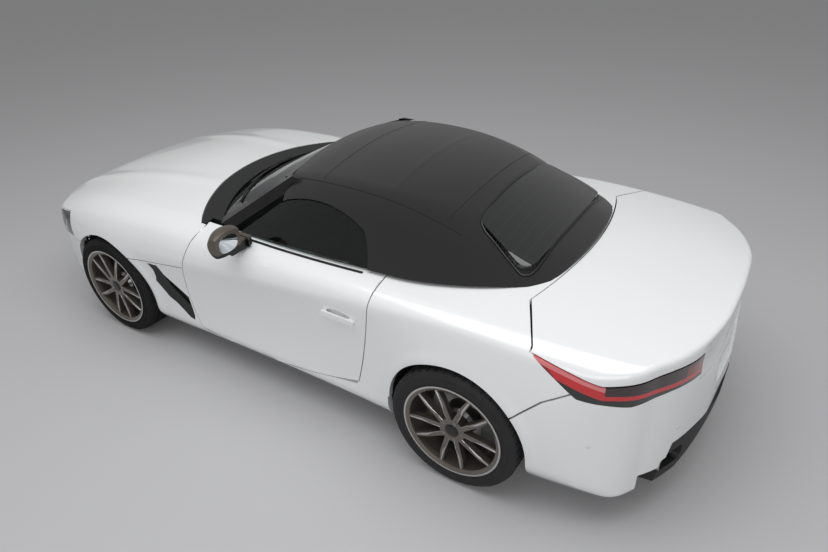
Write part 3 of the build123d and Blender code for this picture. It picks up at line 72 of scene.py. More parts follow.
# %% [markdown]
# Materials first.  Each one is named for what the real thing is made of and how its surface
# was made.  Patterns run on Object coordinates, which are metres here, so a pattern's scale
# is one over its real pitch.

# %% Small helpers for node materials
WHITE_POINT = 255


def linear(hex_colour):
    """sRGB hex to the linear colour a shader takes."""
    channels = [int(hex_colour[i:i + 2], 16) / WHITE_POINT for i in (1, 3, 5)]
    return tuple(c / 12.92 if c <= 0.04045 else ((c + 0.055) / 1.055) ** 2.4
                 for c in channels) + (1.0,)


def material(name, colour, roughness, metallic=0.0, **sockets):
    """A Principled material with its constants on the shader's own sockets."""
    mat = bpy.data.materials.new(name)
    mat.use_nodes = True
    shader = mat.node_tree.nodes["Principled BSDF"]
    shader.inputs["Base Color"].default_value = linear(colour)
    shader.inputs["Roughness"].default_value = roughness
    shader.inputs["Metallic"].default_value = metallic
    for socket, value in sockets.items():
        shader.inputs[socket.replace("_", " ")].default_value = value
    return mat


def add_node(mat, kind, inputs=None, **settings):
    """One node, its settings, and its inputs as constants or links from (node, output)."""
    node = mat.node_tree.nodes.new(kind)
    for key, value in settings.items():
        setattr(node, key, value)
    for key, value in (inputs or {}).items():
        if isinstance(value, tuple) and len(value) == 2 and hasattr(value[0], "outputs"):
            mat.node_tree.links.new(value[0].outputs[value[1]], node.inputs[key])
        else:
            node.inputs[key].default_value = value
    return node


def link(mat, node, output, socket):
    shader = mat.node_tree.nodes["Principled BSDF"]
    mat.node_tree.links.new(node.outputs[output], shader.inputs[socket])


def object_coords(mat):
    return add_node(mat, "ShaderNodeTexCoord")


def noise_of(mat, pitch_mm, detail):
    """Noise with features about pitch_mm across."""
    return add_node(mat, "ShaderNodeTexNoise", {
        "Vector": (object_coords(mat), "Object"), "Scale": 1000 / pitch_mm, "Detail": detail})


def mottle(mat, pitch_mm, colour_a, colour_b, detail=4.0, low=0.3, high=0.7):
    """Noise between two colours into the base colour."""
    noise = noise_of(mat, pitch_mm, detail)
    ramp = add_node(mat, "ShaderNodeValToRGB", {"Fac": (noise, "Fac")})
    for stop, place, colour in zip(ramp.color_ramp.elements, (low, high), (colour_a, colour_b)):
        stop.position, stop.color = place, linear(colour)
    link(mat, ramp, "Color", "Base Color")
    return noise


def grain(mat, pitch_mm, depth_mm, strength=1.0, detail=3.0):
    """Fine noise bump with a real pitch and depth."""
    noise = noise_of(mat, pitch_mm, detail)
    bump = add_node(mat, "ShaderNodeBump", {
        "Height": (noise, "Fac"), "Strength": strength, "Distance": depth_mm * MM})
    link(mat, bump, "Normal", "Normal")
    return noise


def roughness_variation(mat, noise, low, high):
    span = add_node(mat, "ShaderNodeMapRange", {
        "Value": (noise, "Fac"), "To Min": low, "To Max": high})
    link(mat, span, "Result", "Roughness")


def split_colour(mat, mask, colour_off, colour_on):
    """Base colour of two tones: the second one where the mask node gives one."""
    mix = add_node(mat, "ShaderNodeMix", {0: (mask, "Value")}, data_type="RGBA")
    mix.inputs[6].default_value, mix.inputs[7].default_value = linear(colour_off), linear(colour_on)
    link(mat, mix, 2, "Base Color")


# %% [markdown]
# The body's skin is one continuous surface that no primitive gives, so it is worked out by
# formula: rows of sizes along the car say how high and how wide each section is, and smooth
# maxima round the places where flank, top, nose and tail meet.  Panels are then cut from it,
# so that every shut line has the same curve on both of its sides.

# %% The skin's sizes, in millimetres
HALF_LENGTH = 2162
FRONT_AXLE_X = 1322
REAR_AXLE_X = -1148
FRONT_TYRE_RADIUS = 330.5
REAR_TYRE_RADIUS = 337.5
ARCH_CLEARANCE = 32
COLUMNS = ("x", "low", "y_sill", "z_sill", "y_waist", "z_waist",
           "y_crease", "z_crease", "y_shoulder", "z_shoulder", "z_top")
STATIONS = np.array([
    (2200, 190, 760, 270, 780, 420, 800, 540, 690, 660, 735),
    (1900, 180, 820, 255, 840, 440, 860, 580, 745, 755, 815),
    (1600, 170, 870, 245, 893, 455, 908, 610, 790, 825, 880),
    (1322, 165, 890, 240, 915, 470, 926, 640, 810, 865, 925),
    (900, 165, 882, 240, 895, 520, 912, 670, 805, 895, 955),
    (400, 165, 872, 245, 868, 560, 893, 725, 785, 905, 962),
    (-200, 165, 870, 250, 858, 590, 886, 785, 778, 925, 970),
    (-700, 165, 880, 255, 882, 610, 893, 840, 785, 945, 985),
    (-1148, 165, 905, 260, 932, 640, 902, 862, 805, 960, 995),
    (-1600, 175, 895, 270, 915, 600, 888, 850, 785, 950, 985),
    (-1950, 200, 850, 290, 862, 560, 850, 820, 730, 930, 968),
    (-2200, 230, 780, 310, 790, 540, 780, 790, 640, 910, 950),
], dtype=float)[::-1]
NOSE_PLAN = ((0, 350, 700, 818, 905, 1000), (0, 44, 177, 272, 462, 800))
TAIL_PLAN = ((0, 350, 690, 830, 895, 990), (0, 50, 200, 330, 470, 800))
NOSE_PROFILE = ((100, 200, 300, 430, 560, 640, 715, 790, 900), (95, 48, 18, 0, 8, 25, 70, 150, 300))
TAIL_PROFILE = ((100, 200, 300, 480, 600, 690, 735, 760, 850, 905, 945, 1000),
                (190, 105, 42, 0, 5, 22, 50, 62, 76, 66, 34, 40))


def smooth_curve(knots_x, knots_y, x):
    """Cubic through the knots, with slopes that never overshoot much."""
    kx, ky = np.asarray(knots_x, float), np.asarray(knots_y, float)
    step, rise = np.diff(kx), np.diff(ky) / np.diff(kx)
    slope = np.empty_like(ky)
    slope[0], slope[-1] = rise[0], rise[-1]
    slope[1:-1] = (rise[:-1] * step[1:] + rise[1:] * step[:-1]) / (step[1:] + step[:-1])
    i = np.clip(np.searchsorted(kx, x) - 1, 0, len(kx) - 2)
    t = np.clip((x - kx[i]) / step[i], -1, 2)
    return ((2 * t ** 3 - 3 * t ** 2 + 1) * ky[i] + (t ** 3 - 2 * t ** 2 + t) * step[i] * slope[i]
            + (3 * t ** 2 - 2 * t ** 3) * ky[i + 1] + (t ** 3 - t ** 2) * step[i] * slope[i + 1])


def station(column, x):
    return smooth_curve(STATIONS[:, 0], STATIONS[:, COLUMNS.index(column)], x)


def through_three(z, z0, y0, z1, y1, z2, y2):
    """Parabola through three heights."""
    return (y0 * (z - z1) * (z - z2) / ((z0 - z1) * (z0 - z2))
            + y1 * (z - z0) * (z - z2) / ((z1 - z0) * (z1 - z2))
            + y2 * (z - z0) * (z - z1) / ((z2 - z0) * (z2 - z1)))


def arc_distance(y, z, start, middle, end):
    """Distance outside the arc through three points of a section, run on straight at its ends."""
    (ay, az), (by, bz), (cy, cz) = start, middle, end
    span = 2 * (ay * (bz - cz) + by * (cz - az) + cy * (az - bz))
    aa, bb, cc = ay ** 2 + az ** 2, by ** 2 + bz ** 2, cy ** 2 + cz ** 2
    oy = (aa * (bz - cz) + bb * (cz - az) + cc * (az - bz)) / span
    oz = (aa * (cy - by) + bb * (ay - cy) + cc * (by - ay)) / span
    radius = np.hypot(ay - oy, az - oz)
    py, pz = y - oy, z - oz
    sy, sz, ey, ez = (ay - oy) / radius, (az - oz) / radius, (cy - oy) / radius, (cz - oz) / radius
    out = np.hypot(py, pz)
    out = np.where(sy * pz - sz * py < 0, sy * py + sz * pz, out)
    out = np.where((ey * pz - ez * py > 0) & (sy * pz - sz * py >= 0), ey * py + ez * pz, out)
    return out - radius


def smooth_max(a, b, radius):
    mix = np.clip(0.5 + 0.5 * (a - b) / radius, 0, 1)
    return b * (1 - mix) + a * mix + radius * mix * (1 - mix)


def bump_at(value, centre, width):
    return np.exp(-((value - centre) / width) ** 2)


def nose_offset(y, z):
    """How far the nose lies behind the foremost point."""
    return smooth_max(smooth_curve(*NOSE_PLAN, y), smooth_curve(*NOSE_PROFILE, z), 45) - 4


def tail_offset(y, z):
    """How far the tail lies ahead of the rearmost point."""
    return smooth_max(smooth_curve(*TAIL_PLAN, y), smooth_curve(*TAIL_PROFILE, z), 45) - 4


def skin_field(x, y, z):
    """About the distance in mm outside the skin; negative inside."""
    y = np.abs(y)
    zs, ys = station("z_sill", x), station("y_sill", x)
    zw, yw = station("z_waist", x), station("y_waist", x)
    zc, yc = station("z_crease", x), station("y_crease", x)
    zh, yh = station("z_shoulder", x), station("y_shoulder", x)
    flare = 0
    for axle, radius in ((FRONT_AXLE_X, FRONT_TYRE_RADIUS), (REAR_AXLE_X, REAR_TYRE_RADIUS)):
        ring = np.hypot(x - axle, z - radius)
        flare = flare + 7 * bump_at(ring, radius + ARCH_CLEARANCE + 18, 34) * (z > radius * 0.6)
    lower = through_three(z, zs, ys, zw, yw, zc, yc) + flare
    shoulder = arc_distance(y, z, (yc, zc), ((yc + yh) / 2 + 18, (zc + zh) / 2 + 14), (yh, zh))
    side = smooth_max(y - lower, shoulder, 10)
    side = smooth_max(side, (y - ys + (zs - z) * 0.75) * 0.8, 26)
    z_top = station("z_top", x)
    lip = np.clip((-1880 - x) / 230, 0, 1) ** 2 * np.clip(1 - (y / 660) ** 2, 0, 1)
    dome = 7 * bump_at(y, 455 - 0.10 * (1900 - x), 60) * np.clip((x - 700) / 300, 0, 1)
    top = z - (z_top - (z_top - zh) * (y / yh) ** 2 + 10 * lip + dome)
    body = smooth_max(side, top, 66)
    body = smooth_max(body, station("low", x) - z, 20)
    step = 2.0
    for end, offset, softness in ((x, nose_offset, 44), (-x, tail_offset, 24)):
        rise_y = offset(y + step, z) - offset(y - step, z)
        rise_z = offset(y, z + step) - offset(y, z - step)
        slope = np.hypot(rise_y, rise_z) / (2 * step)
        body = smooth_max(body, (end - HALF_LENGTH + offset(y, z)) / np.hypot(1, slope), softness)
    return body


PROBE = 0.6


def field_normal(points, field):
    """Outward unit normals of a field at points, in mm."""
    grad = np.empty_like(points)
    for axis in range(3):
        shift = np.zeros(3)
        shift[axis] = PROBE
        ahead, behind = points + shift, points - shift
        grad[:, axis] = field(*ahead.T) - field(*behind.T)
    return grad / np.maximum(np.linalg.norm(grad, axis=1, keepdims=True), 1e-9)


# %% [markdown]
# Operators act on what is selected and active, so a few small helpers pick an object, enter
# and leave edit mode, add objects, and read and write a mesh's points as rows of numbers.

# %% Small helpers for objects and their points
def clear_selection():
    if bpy.context.object and bpy.context.object.mode != "OBJECT":
        bpy.ops.object.mode_set(mode="OBJECT")
    bpy.ops.object.select_all(action="DESELECT")


def pick(obj):
    """Make obj the only selected and the active object."""
    clear_selection()
    obj.select_set(True)
    bpy.context.view_layer.objects.active = obj


def edit_all(obj):
    """Enter edit mode on obj with everything selected."""
    pick(obj)
    bpy.ops.object.mode_set(mode="EDIT")
    bpy.ops.mesh.select_all(action="SELECT")


def leave_edit():
    bpy.ops.object.mode_set(mode="OBJECT")


def add_object(name, data):
    obj = bpy.data.objects.new(name, data)
    bpy.context.collection.objects.link(obj)
    return obj


def bare_copy(node, name):
    """A copy of a solid's mesh under a new object, without its material."""
    mesh = frame["nodes"][node].data.copy()
    mesh.materials.clear()
    return add_object(name, mesh)


def read_points(mesh, key="co"):
    """The mesh's points, or their normals, as rows in metres."""
    values = np.empty(len(mesh.vertices) * 3)
    mesh.vertices.foreach_get(key, values)
    return values.reshape(-1, 3)


def write_points(mesh, points):
    mesh.vertices.foreach_set("co", points.ravel())
    mesh.update()


# %% [markdown]
# The solids already have every shut line, opening and wall thickness, but their skin is a
# plain loft with sharp corners.  So each painted panel starts as a copy of its solid: the
# copy is merged, cut into a fine grid, and its outer points are slid onto the smooth skin.
# The shading normals come from the same formula, so light runs across the shut lines.

# %% Lay a copy of a solid onto a smooth skin
def skin_grid_space(points):
    """Bend space so that the plan of nose and tail and the flank's crease become straight."""
    x, y, z = points.T
    rear = smooth_step((-x - 1350) / 550)
    front = smooth_step((x - 1450) / 450)
    y_abs = np.abs(y)
    along = x - rear * smooth_curve(*TAIL_PLAN, y_abs) + front * smooth_curve(*NOSE_PLAN, y_abs)
    return np.stack([along, y, z - station("z_crease", x)], 1)


def smooth_step(t):
    t = np.clip(t, 0, 1)
    return t * t * (3 - 2 * t)


def number_patches(bm):
    """Give every face the number of the smooth patch it belongs to, bounded by sharp edges."""
    patch = bm.faces.layers.int.new("patch")
    number = 0
    for seed in bm.faces:
        if seed[patch]:
            continue
        number += 1
        seed[patch] = number
        front = [seed]
        while front:
            face = front.pop()
            for edge in face.edges:
                if len(edge.link_faces) == 2 and edge.calc_face_angle(3.0) < 0.45:
                    for other in edge.link_faces:
                        if not other[patch]:
                            other[patch] = number
                            front.append(other)


NO_EXTRA_CUTS = ((), (), ())
CREASE_CUTS = ((), (), (-4, 4, -11, 11))


def gridded_copy(node, name, space=None, step=18, extra=NO_EXTRA_CUTS):
    """Merged copy of a solid's mesh, cut into cells no larger than step, in mm.

    The cuts are planes in the bent space, and each new point remembers where it was."""
    obj = bare_copy(node, name)
    bm = bmesh.new()
    bm.from_mesh(obj.data)
    bmesh.ops.remove_doubles(bm, verts=bm.verts, dist=1e-5)
    home = bm.verts.layers.float_vector.new("home")
    for vert in bm.verts:
        vert[home] = vert.co
    number_patches(bm)
    for axis in (1, 0, 2):
        bent = np.array([v[home] for v in bm.verts]) / MM
        bent = space(bent) if space else bent
        for vert, place in zip(bm.verts, bent):
            vert.co = place
        low, high = bent[:, axis].min(), bent[:, axis].max()
        normal = Vector((0, 0, 0))
        normal[axis] = 1
        cuts = list(np.arange(np.ceil(low / step) * step, high, step))
        cuts += [place for place in extra[axis] if low < place < high]
        for place in cuts:
            bmesh.ops.bisect_plane(bm, geom=bm.verts[:] + bm.edges[:] + bm.faces[:], dist=0.8,
                                   plane_co=normal * float(place), plane_no=normal)
    for vert in bm.verts:
        vert.co = vert[home]
    bmesh.ops.dissolve_degenerate(bm, edges=bm.edges, dist=1e-4)
    bmesh.ops.triangulate(bm, faces=bm.faces)
    bm.to_mesh(obj.data)
    bm.free()
    return obj


OUTER_FACING, INNER_FACING = 0.7, -0.5
SMALL_PATCH, SMALL_REACH = 15000, 7
RECESS_PATCH, RECESS_DEPTHS, RECESS_DEPTH = 150000, (-22, -9), 14.0
STRAY_ABOVE, STRAY_DEPTH = -1.5, 3.0


def face_normals(points, faces):
    """Corners of each triangle, its unit normal, and its area."""
    a, b, c = points[faces[:, 0]], points[faces[:, 1]], points[faces[:, 2]]
    flat = np.cross(b - a, c - a)
    double_area = np.linalg.norm(flat, axis=1)
    flat /= np.maximum(double_area[:, None], 1e-9)
    return a, b, c, flat, double_area / 2


def lay_on(obj, field, reach_out, reach_in, thickness):
    """Slide the outer points of obj onto field = 0 and the inner ones to -thickness.

    Whole smooth patches are sorted by where they lie and which way they face.  Patches set
    in from the skin keep a recess, and wall points that stand out of the skin go under it."""
    mesh = obj.data
    points = read_points(mesh) / MM
    count = len(points)
    faces = np.empty(len(mesh.polygons) * 3, dtype=int)
    mesh.polygons.foreach_get("vertices", faces)
    faces = faces.reshape(-1, 3)
    a, b, c, flat, area = face_normals(points, faces)
    middle = (a + b + c) / 3
    facing = (flat * field_normal(middle, field)).sum(1)
    value = field(*middle.T)
    patch = np.empty(len(faces), dtype=np.int32)
    mesh.attributes["patch"].data.foreach_get("value", patch)
    mesh.attributes.remove(mesh.attributes["patch"])
    bad = ~np.isfinite(value) | ~np.isfinite(facing)
    area, value, facing = (np.where(bad, 0, values) for values in (area, value, facing))
    if bad.any():
        print(obj.name, bad.sum(), "faces without a value near", middle[bad][0])
    total = np.bincount(patch, area) + 1e-9
    mean_facing = np.bincount(patch, area * facing) / total
    mean_value = np.bincount(patch, area * value) / total
    reach = np.where(total < SMALL_PATCH, SMALL_REACH, reach_out)
    is_outer = (mean_facing > OUTER_FACING) & (np.abs(mean_value) < reach)
    is_inner = (mean_facing < INNER_FACING) & (np.abs(mean_value + thickness) < reach_in)
    deepest, shallowest = RECESS_DEPTHS
    recess = (is_outer & (total < RECESS_PATCH)
              & (mean_value < shallowest) & (mean_value > deepest))
    outer_face, inner_face = is_outer[patch], is_inner[patch]
    outer, inner, sunk = np.zeros(count, bool), np.zeros(count, bool), np.zeros(count, bool)
    inner[faces[inner_face].ravel()] = True
    outer[faces[outer_face].ravel()] = True
    sunk[faces[recess[patch]].ravel()] = True
    inner &= ~outer
    stray = ~outer & ~inner & (field(*points.T) > STRAY_ABOVE) & (not obj.name.startswith("door"))
    inner |= stray
    target = np.where(inner, -float(thickness), np.where(sunk, -RECESS_DEPTH, 0.0))
    target[stray] = -STRAY_DEPTH
    moved = points.copy()
    live = outer | inner
    for _ in range(5):
        grad = np.empty_like(moved[live])
        for axis in range(3):
            shift = np.zeros(3)
            shift[axis] = PROBE
            ahead, behind = moved[live] + shift, moved[live] - shift
            grad[:, axis] = (field(*ahead.T) - field(*behind.T)) / (2 * PROBE)
        gap = field(*moved[live].T) - target[live]
        moved[live] -= gap[:, None] * grad / np.maximum((grad ** 2).sum(1), 0.3)[:, None]
    write_points(mesh, moved * MM)
    skin_normals = field_normal(moved, field)
    flat = face_normals(moved, faces)[3]
    loops = np.repeat(flat[:, None, :], 3, axis=1)
    loops[outer_face] = skin_normals[faces[outer_face]]
    mesh.polygons.foreach_set("use_smooth", np.ones(len(faces), bool))
    mesh.normals_split_custom_set(loops.reshape(-1, 3).tolist())
    shift = np.linalg.norm(moved - points, axis=1)
    furthest = shift[outer].max() if outer.any() else 0
    print(f"{obj.name}: {len(faces)} triangles, {outer.sum()} outer points moved by up to "
          f"{furthest:.1f} mm")


def finish_piece(obj, node, body, mat):
    """Give a piece its material and its body, and hide the solid that it stands for."""
    obj.data.materials.clear()
    obj.data.materials.append(mat)
    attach(obj, body)
    if node:
        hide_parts(node)


# %% [markdown]
# The painted panels are steel and aluminium pressings under white base coat and clear
# lacquer.  One mesh for the whole body would be simpler, but lids and doors have to open, so
# each panel is laid on the skin by itself.

# %% Painted panels
BODY_OF = {name: obj["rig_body"] for name, obj in frame["nodes"].items()}
PAINTED = ("bonnet", "boot_lid", "door_left", "door_right", "wing_left", "wing_right", "sills",
           "quarter_left", "quarter_right", "rear_deck", "rear_bumper", "front_bumper")
# a soft white underneath, and a hard, sharp highlight from the lacquer on top
paint = material("clear-coated white body paint", "#E9EBEC", 0.32,
                 Coat_Weight=1.0, Coat_Roughness=0.03)
for node in PAINTED:
    panel = gridded_copy(node, node + "_skin", skin_grid_space, extra=CREASE_CUTS)
    lay_on(panel, skin_field, 45, 18, 30)
    finish_piece(panel, node, BODY_OF[node], paint)

# %% [markdown]
# The folding roof is one sheet of woven acrylic stretched over bows.  It keeps the outline
# of its solid, windows and skirt included, and is laid on a smooth crown with a faint ridge
# over each bow.

# %% Roof cloth
ROOF_COLUMNS = ("x", "y_foot", "y_rail", "z_rail", "z_crown")
ROOF_STATIONS = np.array([
    (450, 785, 545, 1150, 1232), (160, 785, 545, 1150, 1232), (0, 785, 568, 1176, 1272),
    (-200, 788, 578, 1192, 1297), (-400, 792, 578, 1192, 1304), (-650, 800, 570, 1168, 1290),
    (-850, 815, 565, 1122, 1250), (-1050, 812, 552, 1060, 1178), (-1250, 800, 530, 1000, 1085),
    (-1400, 770, 500, 968, 1026), (-1520, 740, 480, 940, 985)], dtype=float)[::-1]
ROOF_FOOT_Z = 860
BOWS = ((-160, 1.2), (-560, 2.0), (-905, 2.5))


def roof_station(column, x):
    return smooth_curve(ROOF_STATIONS[:, 0], ROOF_STATIONS[:, ROOF_COLUMNS.index(column)], x)


def roof_field(x, y, z):
    y = np.abs(y)
    foot, rail_y, rail_z = (roof_station(column, x) for column in ("y_foot", "y_rail", "z_rail"))
    crown = roof_station("z_crown", x)
    for place, height in BOWS:
        crown = crown + height * bump_at(x, place, 16) - 0.5 * height
    flank = foot + (z - ROOF_FOOT_Z) / (rail_z - ROOF_FOOT_Z) * (rail_y - foot)
    lean = (foot - rail_y) / (rail_z - ROOF_FOOT_Z)
    side = (y - flank - 4) / np.hypot(1, lean)
    top_y = rail_y - 105
    top_z = rail_z + (crown - rail_z) * 0.62 - 6
    top = z - (crown - (crown - top_z) * (y / top_y) ** 2)
    return smooth_max(side, top * 0.9, 74)


roof = gridded_copy("soft_top", "roof_cloth")
lay_on(roof, roof_field, 60, 30, 12)
# solution-dyed yarn: matt black, a little paler where it is seen edge on
cloth = material("woven acrylic roof cloth", "#151517", 0.95,
                 Sheen_Weight=0.25, Sheen_Roughness=0.5)
finish_piece(roof, "soft_top", "body", cloth)

# %% [markdown]
# Glass, trim, chassis and cabin parts look right as plain solids, so they keep them and
# only get a finish each, by the material slot that the part's record names.

# %% Finishes for the pieces that keep their solid
FINISH = {
    # a fine moulded grain: dull and even
    "black_plastic": material("grained black polypropylene", "#131415", 0.55),
    # from a polished mould: dark with sharp reflections
    "gloss_black": material("gloss black acrylic", "#0A0A0B", 0.12),
    # metal flake under satin lacquer: a soft warm highlight
    "mirror_cap": material("bronze grey satin paint", "#4A453F", 0.35, 0.3),
    # coloured lamp covers: smooth and dark, for the solids behind the lenses
    "lamp_smoke": material("smoked lamp cover", "#202326", 0.05),
    "lamp_red": material("red lamp cover", "#B01218", 0.08),
    # float glass with a grey-green tint: the cabin shows through it
    "glass": material("tinted safety glass", "#7F8C88", 0.0, Transmission_Weight=1.0),
    # the rear glass is tinted so far that it reads as black
    "dark_glass": material("dark heated glass", "#0D0F10", 0.03, Coat_Weight=1.0),
    # dip-painted steel and pressed felt: both swallow light under the car
    "chassis": material("dipped steel", "#1A1B1C", 0.5, 0.2),
    "liner": material("felted liner", "#0D0D0D", 0.95),
    # as cast: grey with a broad dull glint
    "engine_iron": material("cast engine block", "#55585A", 0.55, 0.8),
    # brushed tube: bright with long soft highlights
    "exhaust_steel": material("brushed stainless steel", "#B5B3AE", 0.28, 1.0),
    # slush-moulded skins and dyed hides: black without a hard shine
    "cabin_plastic": material("soft-touch cabin moulding", "#141414", 0.7),
    "seat_leather": material("black seat leather", "#121213", 0.5),
    "wheel_leather": material("black wheel leather", "#0F0F10", 0.45),
    # sand-cast and left bare: pale and rough
    "cast_knuckle": material("bare iron casting", "#6A6B6C", 0.6, 0.7),
    # vulcanised rubber: nearly black and matt
    "tyre_rubber": material("tyre rubber", "#161617", 0.8),
    # a cast wheel with metallic paint and lacquer: bronze in the light, brown in the shade
    "rim_alloy": material("bronze grey cast wheel paint", "#6E6760", 0.34, 0.7, Coat_Weight=0.5),
    # turned and ground: bright grey
    "disc_iron": material("machined disc iron", "#9A9A98", 0.3, 1.0),
}
SLOT_OF = {part["node"]: part["material_slot"] for part in frame["record"]["subparts"]}
for name, node in frame["nodes"].items():
    if SLOT_OF[name] in FINISH:
        node.data.materials.clear()
        node.data.materials.append(FINISH[SLOT_OF[name]])
print(len(FINISH), "finishes for", len(SLOT_OF), "solids' nodes")

# %% [markdown]
# The wheels are modelled once, in place for a left wheel at the origin, and each corner
# takes a copy with its own mesh.  Rings are profiles spun about the axle, because every
# section of a rim, tyre or disc is the same all the way round.

# %% Helpers for modelled pieces
def new_object(name, verts, edges=(), faces=()):
    """An object from points in mm, in edit mode with everything selected."""
    mesh = bpy.data.meshes.new(name)
    mesh.from_pydata([tuple(c * MM for c in v) for v in verts], list(edges), list(faces))
    obj = add_object(name, mesh)
    edit_all(obj)
    return obj


def tidy_mesh(obj, angle=35):
    """Merge doubles, point faces outwards, smooth all but the sharp edges."""
    edit_all(obj)
    bpy.ops.mesh.remove_doubles(threshold=1e-5)
    bpy.ops.mesh.normals_make_consistent(inside=False)
    leave_edit()
    bpy.ops.object.shade_smooth_by_angle(angle=radians(angle))
    return obj


def lathe(name, profile, steps=96, closed=True, angle=35):
    """Spin a profile of (outboard offset, radius) in mm about the Y axis."""
    count = len(profile)
    edges = [(i, i + 1) for i in range(count - 1)] + ([(count - 1, 0)] if closed else [])
    obj = new_object(name, [(0, offset, radius) for offset, radius in profile], edges)
    bpy.ops.mesh.spin(steps=steps, angle=2 * pi, center=(0, 0, 0), axis=(0, 1, 0))
    leave_edit()
    return tidy_mesh(obj, angle)


def plate(name, outline, low, high, bevel=0.0, segments=2):
    """Flat outline of (x, z) points in mm, standing from y = low to y = high, edges rounded."""
    obj = new_object(name, [(x, low, z) for x, z in outline], faces=[range(len(outline))])
    bpy.ops.mesh.extrude_region_move(TRANSFORM_OT_translate={"value": (0, (high - low) * MM, 0)})
    bpy.ops.mesh.select_all(action="SELECT")
    bpy.ops.mesh.normals_make_consistent(inside=False)
    if bevel:
        bpy.ops.mesh.bevel(offset=bevel * MM, segments=segments, affect="EDGES")
    leave_edit()
    return tidy_mesh(obj)


def bevelled_cylinder(vertices, radius, depth, bevel, segments, place, turn=(0, 0, 0)):
    """A cylinder with rounded edges, sizes in metres, written in place into its mesh."""
    clear_selection()
    bpy.ops.mesh.primitive_cylinder_add(vertices=vertices, radius=radius, depth=depth,
                                        location=place, rotation=turn)
    obj = bpy.context.object
    bpy.ops.object.transform_apply(location=True, rotation=True, scale=True)
    edit_all(obj)
    bpy.ops.mesh.bevel(offset=bevel, segments=segments, affect="EDGES")
    leave_edit()
    return tidy_mesh(obj)


def join(name, objects):
    pick(objects[0])
    for obj in objects:
        obj.select_set(True)
    bpy.ops.object.join()
    objects[0].name = name
    return objects[0]


def copy_at(obj, name, matrix):
    """A copy with its own mesh, its place written into the mesh."""
    mesh = obj.data.copy()
    mesh.transform(matrix)
    if matrix.determinant() < 0:
        mesh.flip_normals()
    return add_object(name, mesh)


def drop(*objects):
    for obj in objects:
        bpy.data.objects.remove(obj, do_unlink=True)


# %% One wheel at the origin
RIM_SEAT, RIM_LIP = 241, 257
TREAD_STEPS = 132
SPOKE_PAIRS = 5
SPOKE_TURN = 360 // SPOKE_PAIRS
HUB_FACE_INSET = 14
WHEELS = (
    ("front_left", FRONT_AXLE_X, 797, 1, FRONT_TYRE_RADIUS, 255),
    ("front_right", FRONT_AXLE_X, -797, -1, FRONT_TYRE_RADIUS, 255),
    ("rear_left", REAR_AXLE_X, 794.5, 1, REAR_TYRE_RADIUS, 275),
    ("rear_right", REAR_AXLE_X, -794.5, -1, REAR_TYRE_RADIUS, 275),
)


def wheel_matrix(x, y, side, radius):
    turn = Matrix.Identity(4) if side > 0 else Matrix.Rotation(pi, 4, "X")
    return Matrix.Translation((x * MM, y * MM, radius * MM)) @ turn


def tyre_ring(name, radius, width):
    """Tread with four grooves and slotted shoulders, sidewalls with two raised rings."""
    half = width / 2

    def crown(offset):
        return radius - 3 * (offset / (half - 26)) ** 2

    wall = [(-half + 10, RIM_SEAT), (-half + 4, RIM_LIP - 2), (-half + 2.5, RIM_LIP + 8),
            (-half + 4, RIM_LIP + 10), (-half + 3, RIM_LIP + 14), (-half + 1, radius - 48),
            (-half + 2.4, radius - 46), (-half + 2.2, radius - 36), (-half + 1.4, radius - 34),
            (-half + 6, radius - 17), (-half + 14, radius - 8), (-half + 26, radius - 3)]
    tread = []
    for groove in (-0.56, -0.19, 0.19, 0.56):
        middle = groove * half
        tread += [(middle - 6, crown(middle - 6)), (middle - 4.5, radius - 9),
                  (middle + 4.5, radius - 9), (middle + 6, crown(middle + 6))]
    profile = wall + tread + [(-o, r) for o, r in reversed(wall)]
    ring = lathe(name, profile, steps=TREAD_STEPS)
    pick(ring)
    for face in ring.data.polygons:
        place = face.center / MM
        step = int(atan2(place.z, place.x) / (2 * pi / TREAD_STEPS) // 1)
        reach, across = hypot(place.x, place.z), abs(place.y)
        edge = 0.60 * half < across < half - 8 and reach > radius - 12
        block = across < 0.15 * half and reach > radius - 2
        face.select = bool((edge and step % 3 == 0) or (block and step % 4 == 0))
    bpy.ops.object.mode_set(mode="EDIT")
    bpy.ops.mesh.select_mode(type="FACE")
    bpy.ops.mesh.inset(thickness=0.0016, depth=-0.0045, use_individual=True)
    leave_edit()
    bpy.ops.object.shade_smooth_by_angle(angle=radians(30))
    return ring


# rubber from a steel mould: matt, with a faint cloudiness from its release wax
tyre_rubber = material("moulded tyre rubber", "#19191A", 0.78)
mottle(tyre_rubber, 60, "#18181A", "#212123")
# faces cut by a diamond tool are bright bare metal; cap and bolts are gloss and dull spots
rim_bright = material("diamond turned wheel face", "#C9C8C6", 0.22, 1.0)
cap_black = material("gloss black cap", "#0B0B0C", 0.15)
bolt_steel = material("zinc plated bolt", "#8D8E90", 0.35, 1.0)


def spoke_point(radius, across, turn):
    c, s = cos(radians(turn + 90)), sin(radians(turn + 90))
    return (radius * c - across * s, -(radius * s + across * c))


TYRES = {width: tyre_ring(f"tyre_{width}", radius, width)
         for radius, width in ((FRONT_TYRE_RADIUS, 255), (REAR_TYRE_RADIUS, 275))}
CREST = [(104, 23), (150, 37), (238, 55), (237, 61), (154, 49), (140, 42)]
EDGE = [(62, 12), (108, 22), (108, 25.5), (62, 15)]


